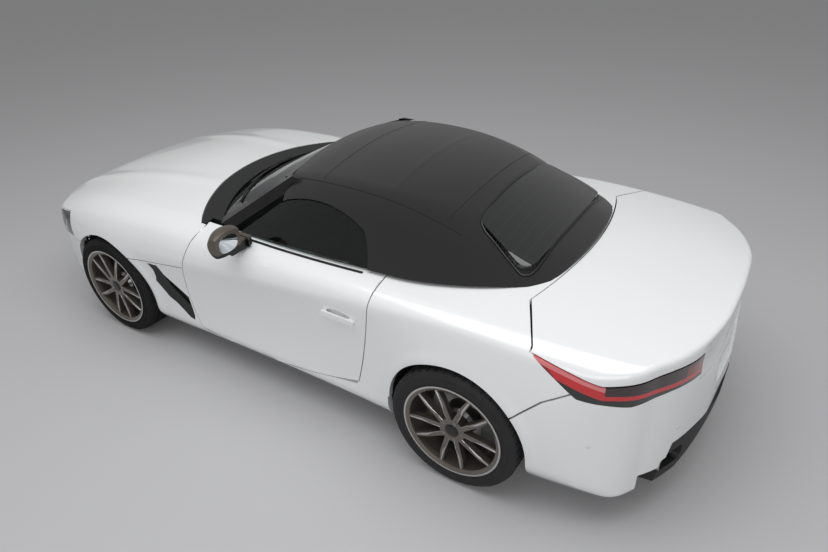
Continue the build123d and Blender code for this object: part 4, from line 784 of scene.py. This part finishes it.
def bright_faces(half):
    """The turned faces of ten spokes and the lip's turned ring."""
    strips = []
    for index in range(SPOKE_PAIRS):
        for lean in (1, -1):
            for outline, proud in ((CREST, 2.6), (EDGE, 1.6)):
                points = [spoke_point(radius, lean * across, SPOKE_TURN * index)
                          for radius, across in outline]
                strips.append(plate("strip", points, half - HUB_FACE_INSET - 1,
                                    half - HUB_FACE_INSET + proud, 0.9, 1))
    lip = lathe("lip", [(half - 3, RIM_LIP - 0.5), (half - 0.2, RIM_LIP - 0.5),
                        (half, RIM_LIP - 2), (half, RIM_LIP - 8),
                        (half - 0.4, RIM_LIP - 9), (half - 3, RIM_LIP - 9)], 128)
    return join("bright_faces", strips + [lip])


def hub_cap(half):
    face = half - HUB_FACE_INSET
    return lathe("cap", [(face - 4, 36), (face + 1, 36), (face + 3.5, 33), (face + 5, 28),
                         (face + 5.6, 12), (face + 5.8, 0), (face - 4, 0)], 64, closed=False)


def bolts(half):
    """Five bolt heads sunk round the cap."""
    face = half - HUB_FACE_INSET
    made = []
    for index in range(SPOKE_PAIRS):
        turn = radians(SPOKE_TURN * index + SPOKE_TURN / 2)
        place = (0.052 * cos(turn), (face - 3) * MM, 0.052 * sin(turn))
        made.append(bevelled_cylinder(6, 0.0095, 0.012, 0.0012, 2, place, (pi / 2, 0, 0)))
    return join("bolts", made)


HALVES = {width: (bright_faces(width / 2), hub_cap(width / 2), bolts(width / 2))
          for width in (255, 275)}

# %% Wheels at their corners
for corner, x, y, side, radius, width in WHEELS:
    matrix = wheel_matrix(x, y, side, radius)
    body = BODY_OF["rim_" + corner]
    tyre = copy_at(TYRES[width], "tyre_tread_" + corner, matrix)
    finish_piece(tyre, "tyre_" + corner, body, tyre_rubber)
    bright, cap, heads = HALVES[width]
    for source, name, mat in ((bright, "turned_faces_", rim_bright),
                              (cap, "centre_cap_", cap_black),
                              (heads, "wheel_bolts_", bolt_steel)):
        finish_piece(copy_at(source, name + corner, matrix), None, body, mat)
for made in HALVES.values():
    drop(*made)
drop(*TYRES.values())

# %% [markdown]
# A lamp is the same skin as the panels round it, so its solid is laid on the skin too.  Its
# lens is one moulding in several colours, which meet along straight cuts seen from the
# side, so the laid copy is cut by planes and each face takes the colour of its region.

# %% Lamps laid on the skin and cut into their colours
def cut_by_planes(obj, planes):
    """Cut all of obj by planes given as (point, normal) in mm.

    The operator clamps each part of the normal to one, so the normal is made a unit one first."""
    for place, normal in planes:
        normal = Vector(normal).normalized()
        edit_all(obj)
        bpy.ops.mesh.bisect(plane_co=[c * MM for c in place], plane_no=normal)
        leave_edit()


WRAP, WRAP_SIDE = 0.8, 900
TOP_LINE = (1495, 884), (1830, 818)
LOW_LINE = (1540, 846), (1800, 782)
FACET = (1560, 880), (1640, 800)
KINK, LENS_END, FACET_END = 1826, 2290, 1600
BAND_LOW, BAND_HIGH, FACET_TOP = 778, 800, 852


def around_corner(place):
    """How far round the corner of the tail a place lies, in mm, along flank and back."""
    return -place[0] + WRAP * (WRAP_SIDE - abs(place[1]))


lamp = gridded_copy("tail_lamps", "tail_lamp_lens", skin_grid_space, 12)
lay_on(lamp, skin_field, 45, 18, 60)
planes = []
for side in (1, -1):
    for (ua, za), (ub, zb) in (TOP_LINE, LOW_LINE, FACET):
        du, dz = ub - ua, zb - za
        planes.append(((-ua, side * WRAP_SIDE, za), (dz, side * WRAP * dz, du)))
    for cut in (KINK, LENS_END):
        planes.append(((-cut, side * WRAP_SIDE, BAND_HIGH), (1, side * WRAP, 0)))
for height in (BAND_LOW, BAND_HIGH, FACET_TOP):
    planes.append(((0, 0, height), (0, 0, 1)))
cut_by_planes(lamp, planes)
BLACK, RED, PALE, DEEP, SMOKED = range(5)
CLEAR_COAT = {"Coat_Weight": 1.0, "Coat_Roughness": 0.02}
# polished acrylic in five tones under one clear outer lens
lamp_colours = [
    material("smoked black lamp surround", "#0B090A", 0.08, Coat_Weight=1.0),
    material("red acrylic lens", "#C01219", 0.12, **CLEAR_COAT),
    material("pale red acrylic strip", "#D8787A", 0.16, **CLEAR_COAT),
    material("deep red acrylic facet", "#7E0B10", 0.10, **CLEAR_COAT),
    material("smoked red lens", "#22080A", 0.06, **CLEAR_COAT),
]
for mat, low, high in ((lamp_colours[RED], "#B01016", "#D2161E"),
                       (lamp_colours[DEEP], "#6C090D", "#8E0E13")):
    wave = add_node(mat, "ShaderNodeTexWave", {
        "Vector": (object_coords(mat), "Object"), "Scale": 50.0, "Distortion": 0.0},
        bands_direction="DIAGONAL")
    ramp = add_node(mat, "ShaderNodeValToRGB", {"Fac": (wave, "Fac")})
    for stop, colour in zip(ramp.color_ramp.elements, (low, high)):
        stop.color = linear(colour)
    link(mat, ramp, "Color", "Base Color")


def above(u, z, line):
    (ua, za), (ub, zb) = line
    return z > za + (zb - za) * (u - ua) / (ub - ua)


def tail_colour(u, z):
    """The colour of the tail lens at a place round the corner and at a height."""
    if u < KINK:
        if above(u, z, TOP_LINE):
            return PALE
        if not above(u, z, LOW_LINE):
            return BLACK
        return DEEP if u < FACET_END and not above(u, z, FACET) else RED
    if BAND_LOW < z < BAND_HIGH:
        return RED
    if u > LENS_END and BAND_LOW < z < FACET_TOP:
        return DEEP
    return SMOKED if z > BAND_LOW else BLACK


finish_piece(lamp, "tail_lamps", "body", lamp_colours[BLACK])
for mat in lamp_colours[1:]:
    lamp.data.materials.append(mat)
for face in lamp.data.polygons:
    place = face.center / MM
    face.material_index = tail_colour(around_corner(place), place.z)

# %% Head lamps
GUIDE_LOW, POCKET_LOW, POCKET_HIGH, GUIDE_HIGH = 612, 622, 664, 674
UPRIGHTS = (1760, 1772), (1850, 1862), (1940, 1952)
POCKETS = (1772, 1850), (1862, 1940)
lamp = gridded_copy("headlamps", "headlamp_lens", skin_grid_space, 12)
lay_on(lamp, skin_field, 70, 18, 60)
planes = [((0, 0, height), (0, 0, 1))
          for height in (GUIDE_LOW, POCKET_LOW, POCKET_HIGH, GUIDE_HIGH)]
planes += [((place, 0, 0), (1, 0, 0)) for pair in UPRIGHTS for place in pair]
cut_by_planes(lamp, planes)
# a hard-coated clear cover in front of a dark housing, lit guides and bright reflectors
head_dark = material("smoked polycarbonate headlamp cover", "#15171A", 0.05, **CLEAR_COAT)
head_light = material("frosted white light guide", "#C9D0D6", 0.2, **CLEAR_COAT)
head_chrome = material("aluminised reflector", "#8F959B", 0.15, 1.0)
finish_piece(lamp, "headlamps", "body", head_dark)
lamp.data.materials.append(head_light)
lamp.data.materials.append(head_chrome)
for face in lamp.data.polygons:
    x, _, z = face.center / MM
    low_bar = GUIDE_LOW < z < POCKET_LOW and x > UPRIGHTS[0][0]
    upright = GUIDE_LOW < z < GUIDE_HIGH and any(a < x < b for a, b in UPRIGHTS)
    pocket = POCKET_LOW < z < POCKET_HIGH and any(a < x < b for a, b in POCKETS)
    face.material_index = 1 if low_bar or upright else 2 if pocket else 0

# %% [markdown]
# The side windows, screen and mirrors are real sheets, so they keep their solids and take a
# see-through glass; the heated rear glass gets fine printed lines at their real pitch.

# %% Glass
heated = FINISH["dark_glass"]
split = add_node(heated, "ShaderNodeSeparateXYZ", {"Vector": (object_coords(heated), "Object")})
pitch = add_node(heated, "ShaderNodeMath", {0: (split, "X"), 1: 0.026}, operation="PINGPONG")
line = add_node(heated, "ShaderNodeMath", {0: (pitch, "Value"), 1: 0.0007}, operation="LESS_THAN")
split_colour(heated, line, "#0D1011", "#3A2C22")
print("heated lines every", 2 * 0.026, "metres")

# %% [markdown]
# Seals, seams, wipers and trim are round or flat strips that follow a surface.  A strip is
# drawn as a curve through points that are first slid onto the surface it lies on, given
# its section by the curve's bevel, and turned into a mesh.

# %% Strips along a surface
def on_field(field, points, lift=0.0):
    """Points in mm slid onto a surface, then lifted off it."""
    points = np.array(points, float)
    for _ in range(8):
        normal = field_normal(points, field)
        points -= normal * (field(*points.T) - lift)[:, None]
    return points


def strip(name, points, radius, closed=False):
    """A round strip through points in mm."""
    curve = bpy.data.curves.new(name, "CURVE")
    curve.dimensions = "3D"
    curve.bevel_depth, curve.bevel_resolution, curve.use_fill_caps = radius * MM, 3, True
    spline = curve.splines.new("POLY")
    spline.points.add(len(points) - 1)
    for knot, place in zip(spline.points, points):
        knot.co = (*[c * MM for c in place], 1)
    spline.use_cyclic_u = closed
    pick(add_object(name, curve))
    bpy.ops.object.convert(target="MESH")
    return tidy_mesh(bpy.context.object, 40)


def smooth_path(knots, count=60, closed=False):
    """Evenly spread points on a smooth curve through knots."""
    knots = np.array(knots, float)
    if closed:
        knots = np.vstack([knots[-2:], knots, knots[:3]])
    ends = np.vstack([2 * knots[0] - knots[1], knots, 2 * knots[-1] - knots[-2]])
    pieces = len(ends) - 3
    first, last = (2, pieces - 2) if closed else (0, pieces)
    out = []
    for t in np.linspace(first, last, count, endpoint=not closed):
        i = min(int(t), pieces - 1)
        p0, p1, p2, p3 = ends[i:i + 4]
        f = t - i
        out.append(0.5 * (2 * p1 + (p2 - p0) * f + (2 * p0 - 5 * p1 + 4 * p2 - p3) * f ** 2
                          + (3 * p1 - p0 - 3 * p2 + p3) * f ** 3))
    return np.array(out)


# satin paint on trim, and thicker powder coat on the wiper's steel
trim_black = material("satin black painted trim", "#0E0F10", 0.28)
steel_black = material("black coated wiper steel", "#111213", 0.38)

# %% [markdown]
# A stepped black slot behind each front wheel lets the air out of the wheel housing.  It
# could be cut deeper into the wing, but what the eye reads is its outline, so the insert is
# a thin moulding: its outline is drawn flat, cut into a grid, slid onto the wing's skin and
# given a wall.  Its near black is the black plastic plus painted shade, which stands for
# the depth of the opening that is not cut.

# %% Vent slots in the wings
VENT_SLOT = ((916, 626), (846, 628), (822, 592), (762, 489), (648, 388), (642, 292), (676, 300),
             (768, 376), (821, 406), (899, 503), (888, 534), (890, 585))
# a coarse moulded grain, and painted shade: darker than the other black plastic, so that it reads
# as the shaded opening
vent_black_painted_shade = material("moulded black polypropylene vent", "#08090A", 0.5)


def skin_plate(name, outline, side, lift, wall):
    """A thin plate with this outline in x and z, lying on the body's skin."""
    obj = new_object(name, [(x, side * 880, z) for x, z in outline], faces=[range(len(outline))])
    bpy.ops.mesh.quads_convert_to_tris()
    leave_edit()
    columns, rows = zip(*outline)
    planes = [((x, 0, 0), (1, 0, 0)) for x in range(min(columns) + 12, max(columns), 14)]
    planes += [((0, 0, z), (0, 0, 1)) for z in range(min(rows) + 12, max(rows), 14)]
    cut_by_planes(obj, planes)
    mesh = obj.data
    write_points(mesh, on_field(skin_field, read_points(mesh) / MM, lift) * MM)
    if sum(face.normal.y * face.area for face in mesh.polygons) * side < 0:
        mesh.flip_normals()
    wall_modifier = obj.modifiers.new("wall", "SOLIDIFY")
    wall_modifier.thickness, wall_modifier.offset = wall * MM, -1
    bpy.ops.object.modifier_apply(modifier="wall")
    return tidy_mesh(obj, 40)


for side, word in ((1, "left"), (-1, "right")):
    slot_piece = skin_plate("vent_slot_" + word, VENT_SLOT, side, 1.2, 4)
    finish_piece(slot_piece, None, "body", vent_black_painted_shade)
    print(slot_piece.name, len(slot_piece.data.polygons), "faces")

# %% [markdown]
# A belt strip seals the side glass along the top of each door.  Its line is where the plane
# of the glass meets the skin, which is found by halving a span of heights, because the two
# surfaces are formulas and have no edge that could be picked.

# %% Belt strips under the side glass
for side, body in ((1, "door_left"), (-1, "door_right")):
    line = []
    for x in np.linspace(-560, 330, 50):
        low, high = 890.0, 1010.0
        for _ in range(24):
            z = (low + high) / 2
            foot, rail_y, rail_z = (roof_station(column, x)
                                    for column in ("y_foot", "y_rail", "z_rail"))
            y = foot + (z - ROOF_FOOT_Z) / (rail_z - ROOF_FOOT_Z) * (rail_y - foot)
            if skin_field(np.array([x]), np.array([y]), np.array([z]))[0] > 0:
                high = z
            else:
                low = z
        line.append((x, side * (y + 1), z + 2))
    belt = strip("belt_strip_" + body[5:], line, 6.5)
    finish_piece(belt, None, body, trim_black)

# %% [markdown]
# The rear glass is bonded into the cloth behind a frame, and the cloth is sewn from three
# lengths with folded seams.  Both stand proud by a millimetre or two, so they are thin
# strips on the cloth and not a drawing in its material.

# %% Rear glass frame and roof seams
corners = [(-1306, 430), (-1314, 200), (-1318, 0), (-1314, -200), (-1306, -430),
           (-1270, -492), (-1210, -478), (-1100, -440), (-1030, -414), (-996, -360),
           (-988, -180), (-985, 0), (-988, 180), (-996, 360), (-1030, 414),
           (-1100, 440), (-1210, 478), (-1270, 492)]
frame_line = smooth_path([(x, y, 1150) for x, y in corners], 120, closed=True)
for _ in range(12):
    frame_line[:, 2] -= roof_field(*frame_line.T)
rear_frame = strip("rear_glass_frame", frame_line + (0, 0, 1.0), 7, closed=True)
finish_piece(rear_frame, None, "body", trim_black)

# the same yarn folded over twice, coloured a shade darker than the cloth: painted shade in the fold
# of the seam
seam_cloth_painted_shade = material("folded and stitched cloth seam", "#0F0F11", 0.9)
SEAM_INSET = 62
seams = []
for side in (1, -1):
    knots = [(x, side * (roof_station("y_rail", x) - SEAM_INSET), roof_station("z_rail", x) + 30)
             for x in np.linspace(120, -960, 14)]
    seams.append(strip("seam", on_field(roof_field, smooth_path(knots, 80), -0.6), 2.4))
for place in (-905, -160):
    reach = roof_station("y_rail", place) - SEAM_INSET
    knots = [(place, y, 1250) for y in np.linspace(-reach, reach, 13)]
    seams.append(strip("seam", on_field(roof_field, smooth_path(knots, 60), -0.9), 2.2))
roof_seams = join("roof_seams", seams)
finish_piece(roof_seams, None, "body", seam_cloth_painted_shade)

# %% [markdown]
# Each wiper is a pivot cap, a bowed arm and a rubber blade that follows the curved screen.
# A straight blade would cut the glass, so arm and blade are strips through points that are
# worked out on the screen's own curve.

# %% Wipers on the cowl
def screen_point(across, share):
    """A point on the windscreen's outer face: y in mm, and how far up it from 0 to 1."""
    half = 722 + (538 - 722) * share
    centre, end = 818 + (128 - 818) * share, 492 + (28 - 492) * share
    return np.array([end + (centre - end) * (1 - (across / half) ** 2), across, 880 + 342 * share])


WIPERS = ((-250, (330, 0.30), ((30, 0.29), (560, 0.33))),
          (300, (-130, 0.25), ((-440, 0.24), (110, 0.27))))
wiper_pieces = []
for pivot, tip, (blade_start, blade_end) in WIPERS:
    foot = screen_point(pivot, 0.10) + (22, 0, 16)
    head = screen_point(*tip) + (16, 0, 12)
    arm = [foot + (head - foot) * t + np.array([0, 0, 10 * sin(pi * t)])
           for t in np.linspace(0, 1, 12)]
    wiper_pieces.append(strip("arm", arm, 6))
    rubber = []
    for t in np.linspace(0, 1, 20):
        across, share = (start + (end - start) * t for start, end in zip(blade_start, blade_end))
        rubber.append(screen_point(across, share) + (7, 0, 5 + 3 * sin(pi * t)))
    wiper_pieces.append(strip("blade", rubber, 5))
    pivot_place = [c * MM for c in foot - (0, 0, 8)]
    wiper_pieces.append(bevelled_cylinder(32, 0.016, 0.03, 0.004, 3, pivot_place))
wipers = join("wipers", wiper_pieces)
finish_piece(wipers, None, "body", steel_black)

# %% [markdown]
# A mirror has a silvered pane in its rear face, a painted cap and a black foot.  The cap's
# solid keeps its form, and two tones split at a height do for cap and foot, because the
# real joint between them is a level line.

# %% Door mirrors: glass in the rear face, black foot under a satin cap
# silver behind thin glass: it shows what stands opposite, nearly without loss
mirror_glass = material("silvered mirror glass", "#C9CED2", 0.02, 1.0)
cap_paint = FINISH["mirror_cap"]
split = add_node(cap_paint, "ShaderNodeSeparateXYZ", {
    "Vector": (object_coords(cap_paint), "Object")})
above_foot = add_node(cap_paint, "ShaderNodeMath", {0: (split, "Z"), 1: 0.944},
                      operation="GREATER_THAN")
split_colour(cap_paint, above_foot, "#0D0D0E", "#5B544C")
PANE_POINTS = 40


def pane_point(turn):
    """A point on the mirror's rounded outline, as (y, z) in mm."""
    c, s = cos(turn), sin(turn)
    return (932 + 62 * abs(c) ** 0.75 * (1 if c > 0 else -1),
            984 + 46 * abs(s) ** 0.8 * (1 if s > 0 else -1))


for side, body in ((1, "door_left"), (-1, "door_right")):
    outline = [pane_point(2 * pi * index / PANE_POINTS) for index in range(PANE_POINTS)]
    pane = plate("mirror_pane", outline, 0, 4, 1.2)
    turn = Matrix(((0, 1, 0, 136.0 * MM), (side, 0, 0, 0), (0, 0, 1, 0), (0, 0, 0, 1)))
    glass = copy_at(pane, "mirror_glass_" + body[5:], turn)
    finish_piece(tidy_mesh(glass), None, body, mirror_glass)
    drop(pane)

# %% [markdown]
# The parking sensors are small painted discs with a ring groove, flush with the bumpers.
# One disc is spun, and its copies are turned to the skin's normal at each place.

# %% Parking sensors in both bumpers
# body colour on a thin membrane: a shade darker than the panel round it
sensor_paint = material("painted sensor face", "#DDE0E2", 0.3, Coat_Weight=1.0)
SENSOR_PLACES = {"rear_sensors": ((-2150, 250, 512), (-2080, 560, 505), (-1760, 860, 520)),
                 "front_sensors": ((2130, 300, 505), (2020, 640, 515))}
SENSOR_PROFILE = [(-4, 0), (-4, 10.5), (0.6, 10.5), (1.0, 9.6), (0.4, 9.0), (0.6, 8.4),
                  (1.2, 7.5), (1.4, 0)]
disc = lathe("sensor", SENSOR_PROFILE, 40, closed=False)
for name, places in SENSOR_PLACES.items():
    made = []
    for x, y, z in places:
        for side in (1, -1):
            point = on_field(skin_field, [(x, side * y, z)], 0.0)[0]
            normal = Vector(field_normal(point[None, :], skin_field)[0])
            turn = normal.to_track_quat("Y", "Z").to_matrix().to_4x4()
            made.append(copy_at(disc, "sensor", Matrix.Translation(Vector(point) * MM) @ turn))
    finish_piece(join(name, made), None, "body", sensor_paint)
    print(name, len(made))
drop(disc)

# %% [markdown]
# A seat is foam under stitched leather: it is full in the middle of each panel and drawn in
# along its seams.  So a copy of its solid, a little smaller, is remeshed, swollen by cloth
# pressure with a cap on how far it may move, and then pressed in along the seams.

# %% Padded seats
SIMULATED_FRAMES = 20
SEAT_MIDDLE = 370


def swollen_copy(node, name, voxel, cap_mm, shrink_mm):
    """A copy of a solid, remeshed and blown out by cloth pressure, by cap_mm at most."""
    obj = bare_copy(node, name)
    tidy_mesh(obj)
    modifier = obj.modifiers.new("even mesh", "REMESH")
    modifier.mode, modifier.voxel_size = "VOXEL", voxel
    bpy.ops.object.modifier_apply(modifier=modifier.name)
    modifier = obj.modifiers.new("soften", "SMOOTH")
    modifier.iterations, modifier.factor = 14, 0.6
    bpy.ops.object.modifier_apply(modifier=modifier.name)
    start = read_points(obj.data) - read_points(obj.data, "normal") * shrink_mm * MM
    write_points(obj.data, start)
    cloth_modifier = obj.modifiers.new("pressure", "CLOTH")
    settings = cloth_modifier.settings
    settings.use_pressure, settings.uniform_pressure_force = True, 4.0
    settings.effector_weights.gravity = 0
    settings.quality = 4
    settings.tension_stiffness = settings.compression_stiffness = settings.shear_stiffness = 14
    cache = cloth_modifier.point_cache
    cache.frame_start, cache.frame_end = 1, SIMULATED_FRAMES
    scene = bpy.context.scene
    for step_frame in range(1, SIMULATED_FRAMES + 1):
        scene.frame_set(step_frame)
    baked = obj.evaluated_get(bpy.context.evaluated_depsgraph_get())
    move = read_points(baked.data) - start
    length = np.linalg.norm(move, axis=1, keepdims=True)
    move *= np.minimum(1, cap_mm * MM / np.maximum(length, 1e-9))
    scene.frame_set(1)
    obj.modifiers.remove(cloth_modifier)
    write_points(obj.data, start + move)
    print(name, len(start), "points, pushed by up to", round(float(length.max()) / MM, 1), "mm")
    return obj


def press_seams(obj, side):
    """Draw the leather in along the borders of the centre panels and across them."""
    co, normals = read_points(obj.data), read_points(obj.data, "normal")
    x, y, z = (co / MM).T
    across = np.abs(y - side * SEAT_MIDDLE)
    front = (normals[:, 2] + normals[:, 0] > 0.4)
    depth = 6 * bump_at(across, 158, 5) * (z > 380)
    for place in (-330, -210, -90):
        depth = np.maximum(depth, 4 * bump_at(x, place, 5) * (across < 158) * (z < 520))
    for place in (560, 680, 800):
        depth = np.maximum(depth, 4 * bump_at(z, place, 5) * (across < 158) * (x < -380))
    depth = np.maximum(depth, 7 * bump_at(z, 905, 7) * (across < 230))
    write_points(obj.data, co - normals * (depth * front * MM)[:, None])


seat_leather = FINISH["seat_leather"]
pores = grain(seat_leather, 1.6, 0.12, 0.5)
roughness_variation(seat_leather, pores, 0.42, 0.58)
seat = swollen_copy("seat_left", "seat_cover_left", 0.009, 13, 6)
press_seams(seat, 1)
other = copy_at(seat, "seat_cover_right", Matrix.Scale(-1, 4, (0, 1, 0)))
PROUD = 0.006
for piece, node in ((seat, "seat_left"), (other, "seat_right")):
    box_low, box_high = (np.array(corner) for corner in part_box(node))
    write_points(piece.data, np.clip(read_points(piece.data), box_low - PROUD, box_high + PROUD))
    pick(piece)
    bpy.ops.object.shade_smooth()
    finish_piece(piece, node, "body", seat_leather)
    print(piece.name, len(piece.data.polygons), "faces")

# %% [markdown]
# White paint only shows its form through soft gradients, so a large softbox overhead and a
# weaker one from the side do most of the work, over a pale matt floor.

# %% Floor, soft studio light and camera
clear_selection()
bpy.ops.mesh.primitive_plane_add(size=60, location=(0, 0, 0))
floor = bpy.context.object
floor.name = "studio_floor"
floor.data.materials.append(material("matt studio floor", "#BDBDBF", 0.9))


def area_lamp(name, place, target, size, power):
    lamp = bpy.data.lights.new(name, "AREA")
    lamp.shape, lamp.size, lamp.size_y, lamp.energy = "RECTANGLE", size[0], size[1], power
    obj = add_object(name, lamp)
    obj.location = place
    obj.rotation_euler = (Vector(target) - Vector(place)).to_track_quat("-Z", "Y").to_euler()


area_lamp("overhead_softbox", (-0.6, 1.0, 5.5), (0, 0, 0.5), (7, 4.5), 215)
area_lamp("side_softbox", (-3.2, 5.5, 2.8), (0, 0, 0.7), (5, 2.5), 80)
world = bpy.context.scene.world or bpy.data.worlds.new("studio")
bpy.context.scene.world = world
world.use_nodes = True
world_nodes = world.node_tree.nodes
world_nodes["Background"].inputs["Color"].default_value = (0.8, 0.8, 0.8, 1)
world_nodes["Background"].inputs["Strength"].default_value = 0.45

PICTURE_WIDTH, SENSOR_WIDTH = 828, 36
FOCAL_PIXELS = 648.3
CAMERA_PLACE = (-2.200, 2.831, 2.553)
HEADING, TILT, ROLL = radians(-57.08), radians(32.0), radians(-1.47)
camera = bpy.data.cameras.new("studio_camera")
camera.sensor_fit, camera.sensor_width = "HORIZONTAL", SENSOR_WIDTH
camera.lens = SENSOR_WIDTH * FOCAL_PIXELS / PICTURE_WIDTH
camera_object = add_object("studio_camera", camera)
ahead = Vector((cos(TILT) * cos(HEADING), cos(TILT) * sin(HEADING), -sin(TILT)))
right = ahead.cross(Vector((0, 0, 1))).normalized()
up = right.cross(ahead)
rolled_right = right * cos(ROLL) + up * sin(ROLL)
rolled_up = up * cos(ROLL) - right * sin(ROLL)
camera_object.matrix_world = Matrix((
    (rolled_right.x, rolled_up.x, -ahead.x, CAMERA_PLACE[0]),
    (rolled_right.y, rolled_up.y, -ahead.y, CAMERA_PLACE[1]),
    (rolled_right.z, rolled_up.z, -ahead.z, CAMERA_PLACE[2]),
    (0, 0, 0, 1)))
bpy.context.scene.camera = camera_object
bpy.context.scene.view_settings.view_transform = "Standard"
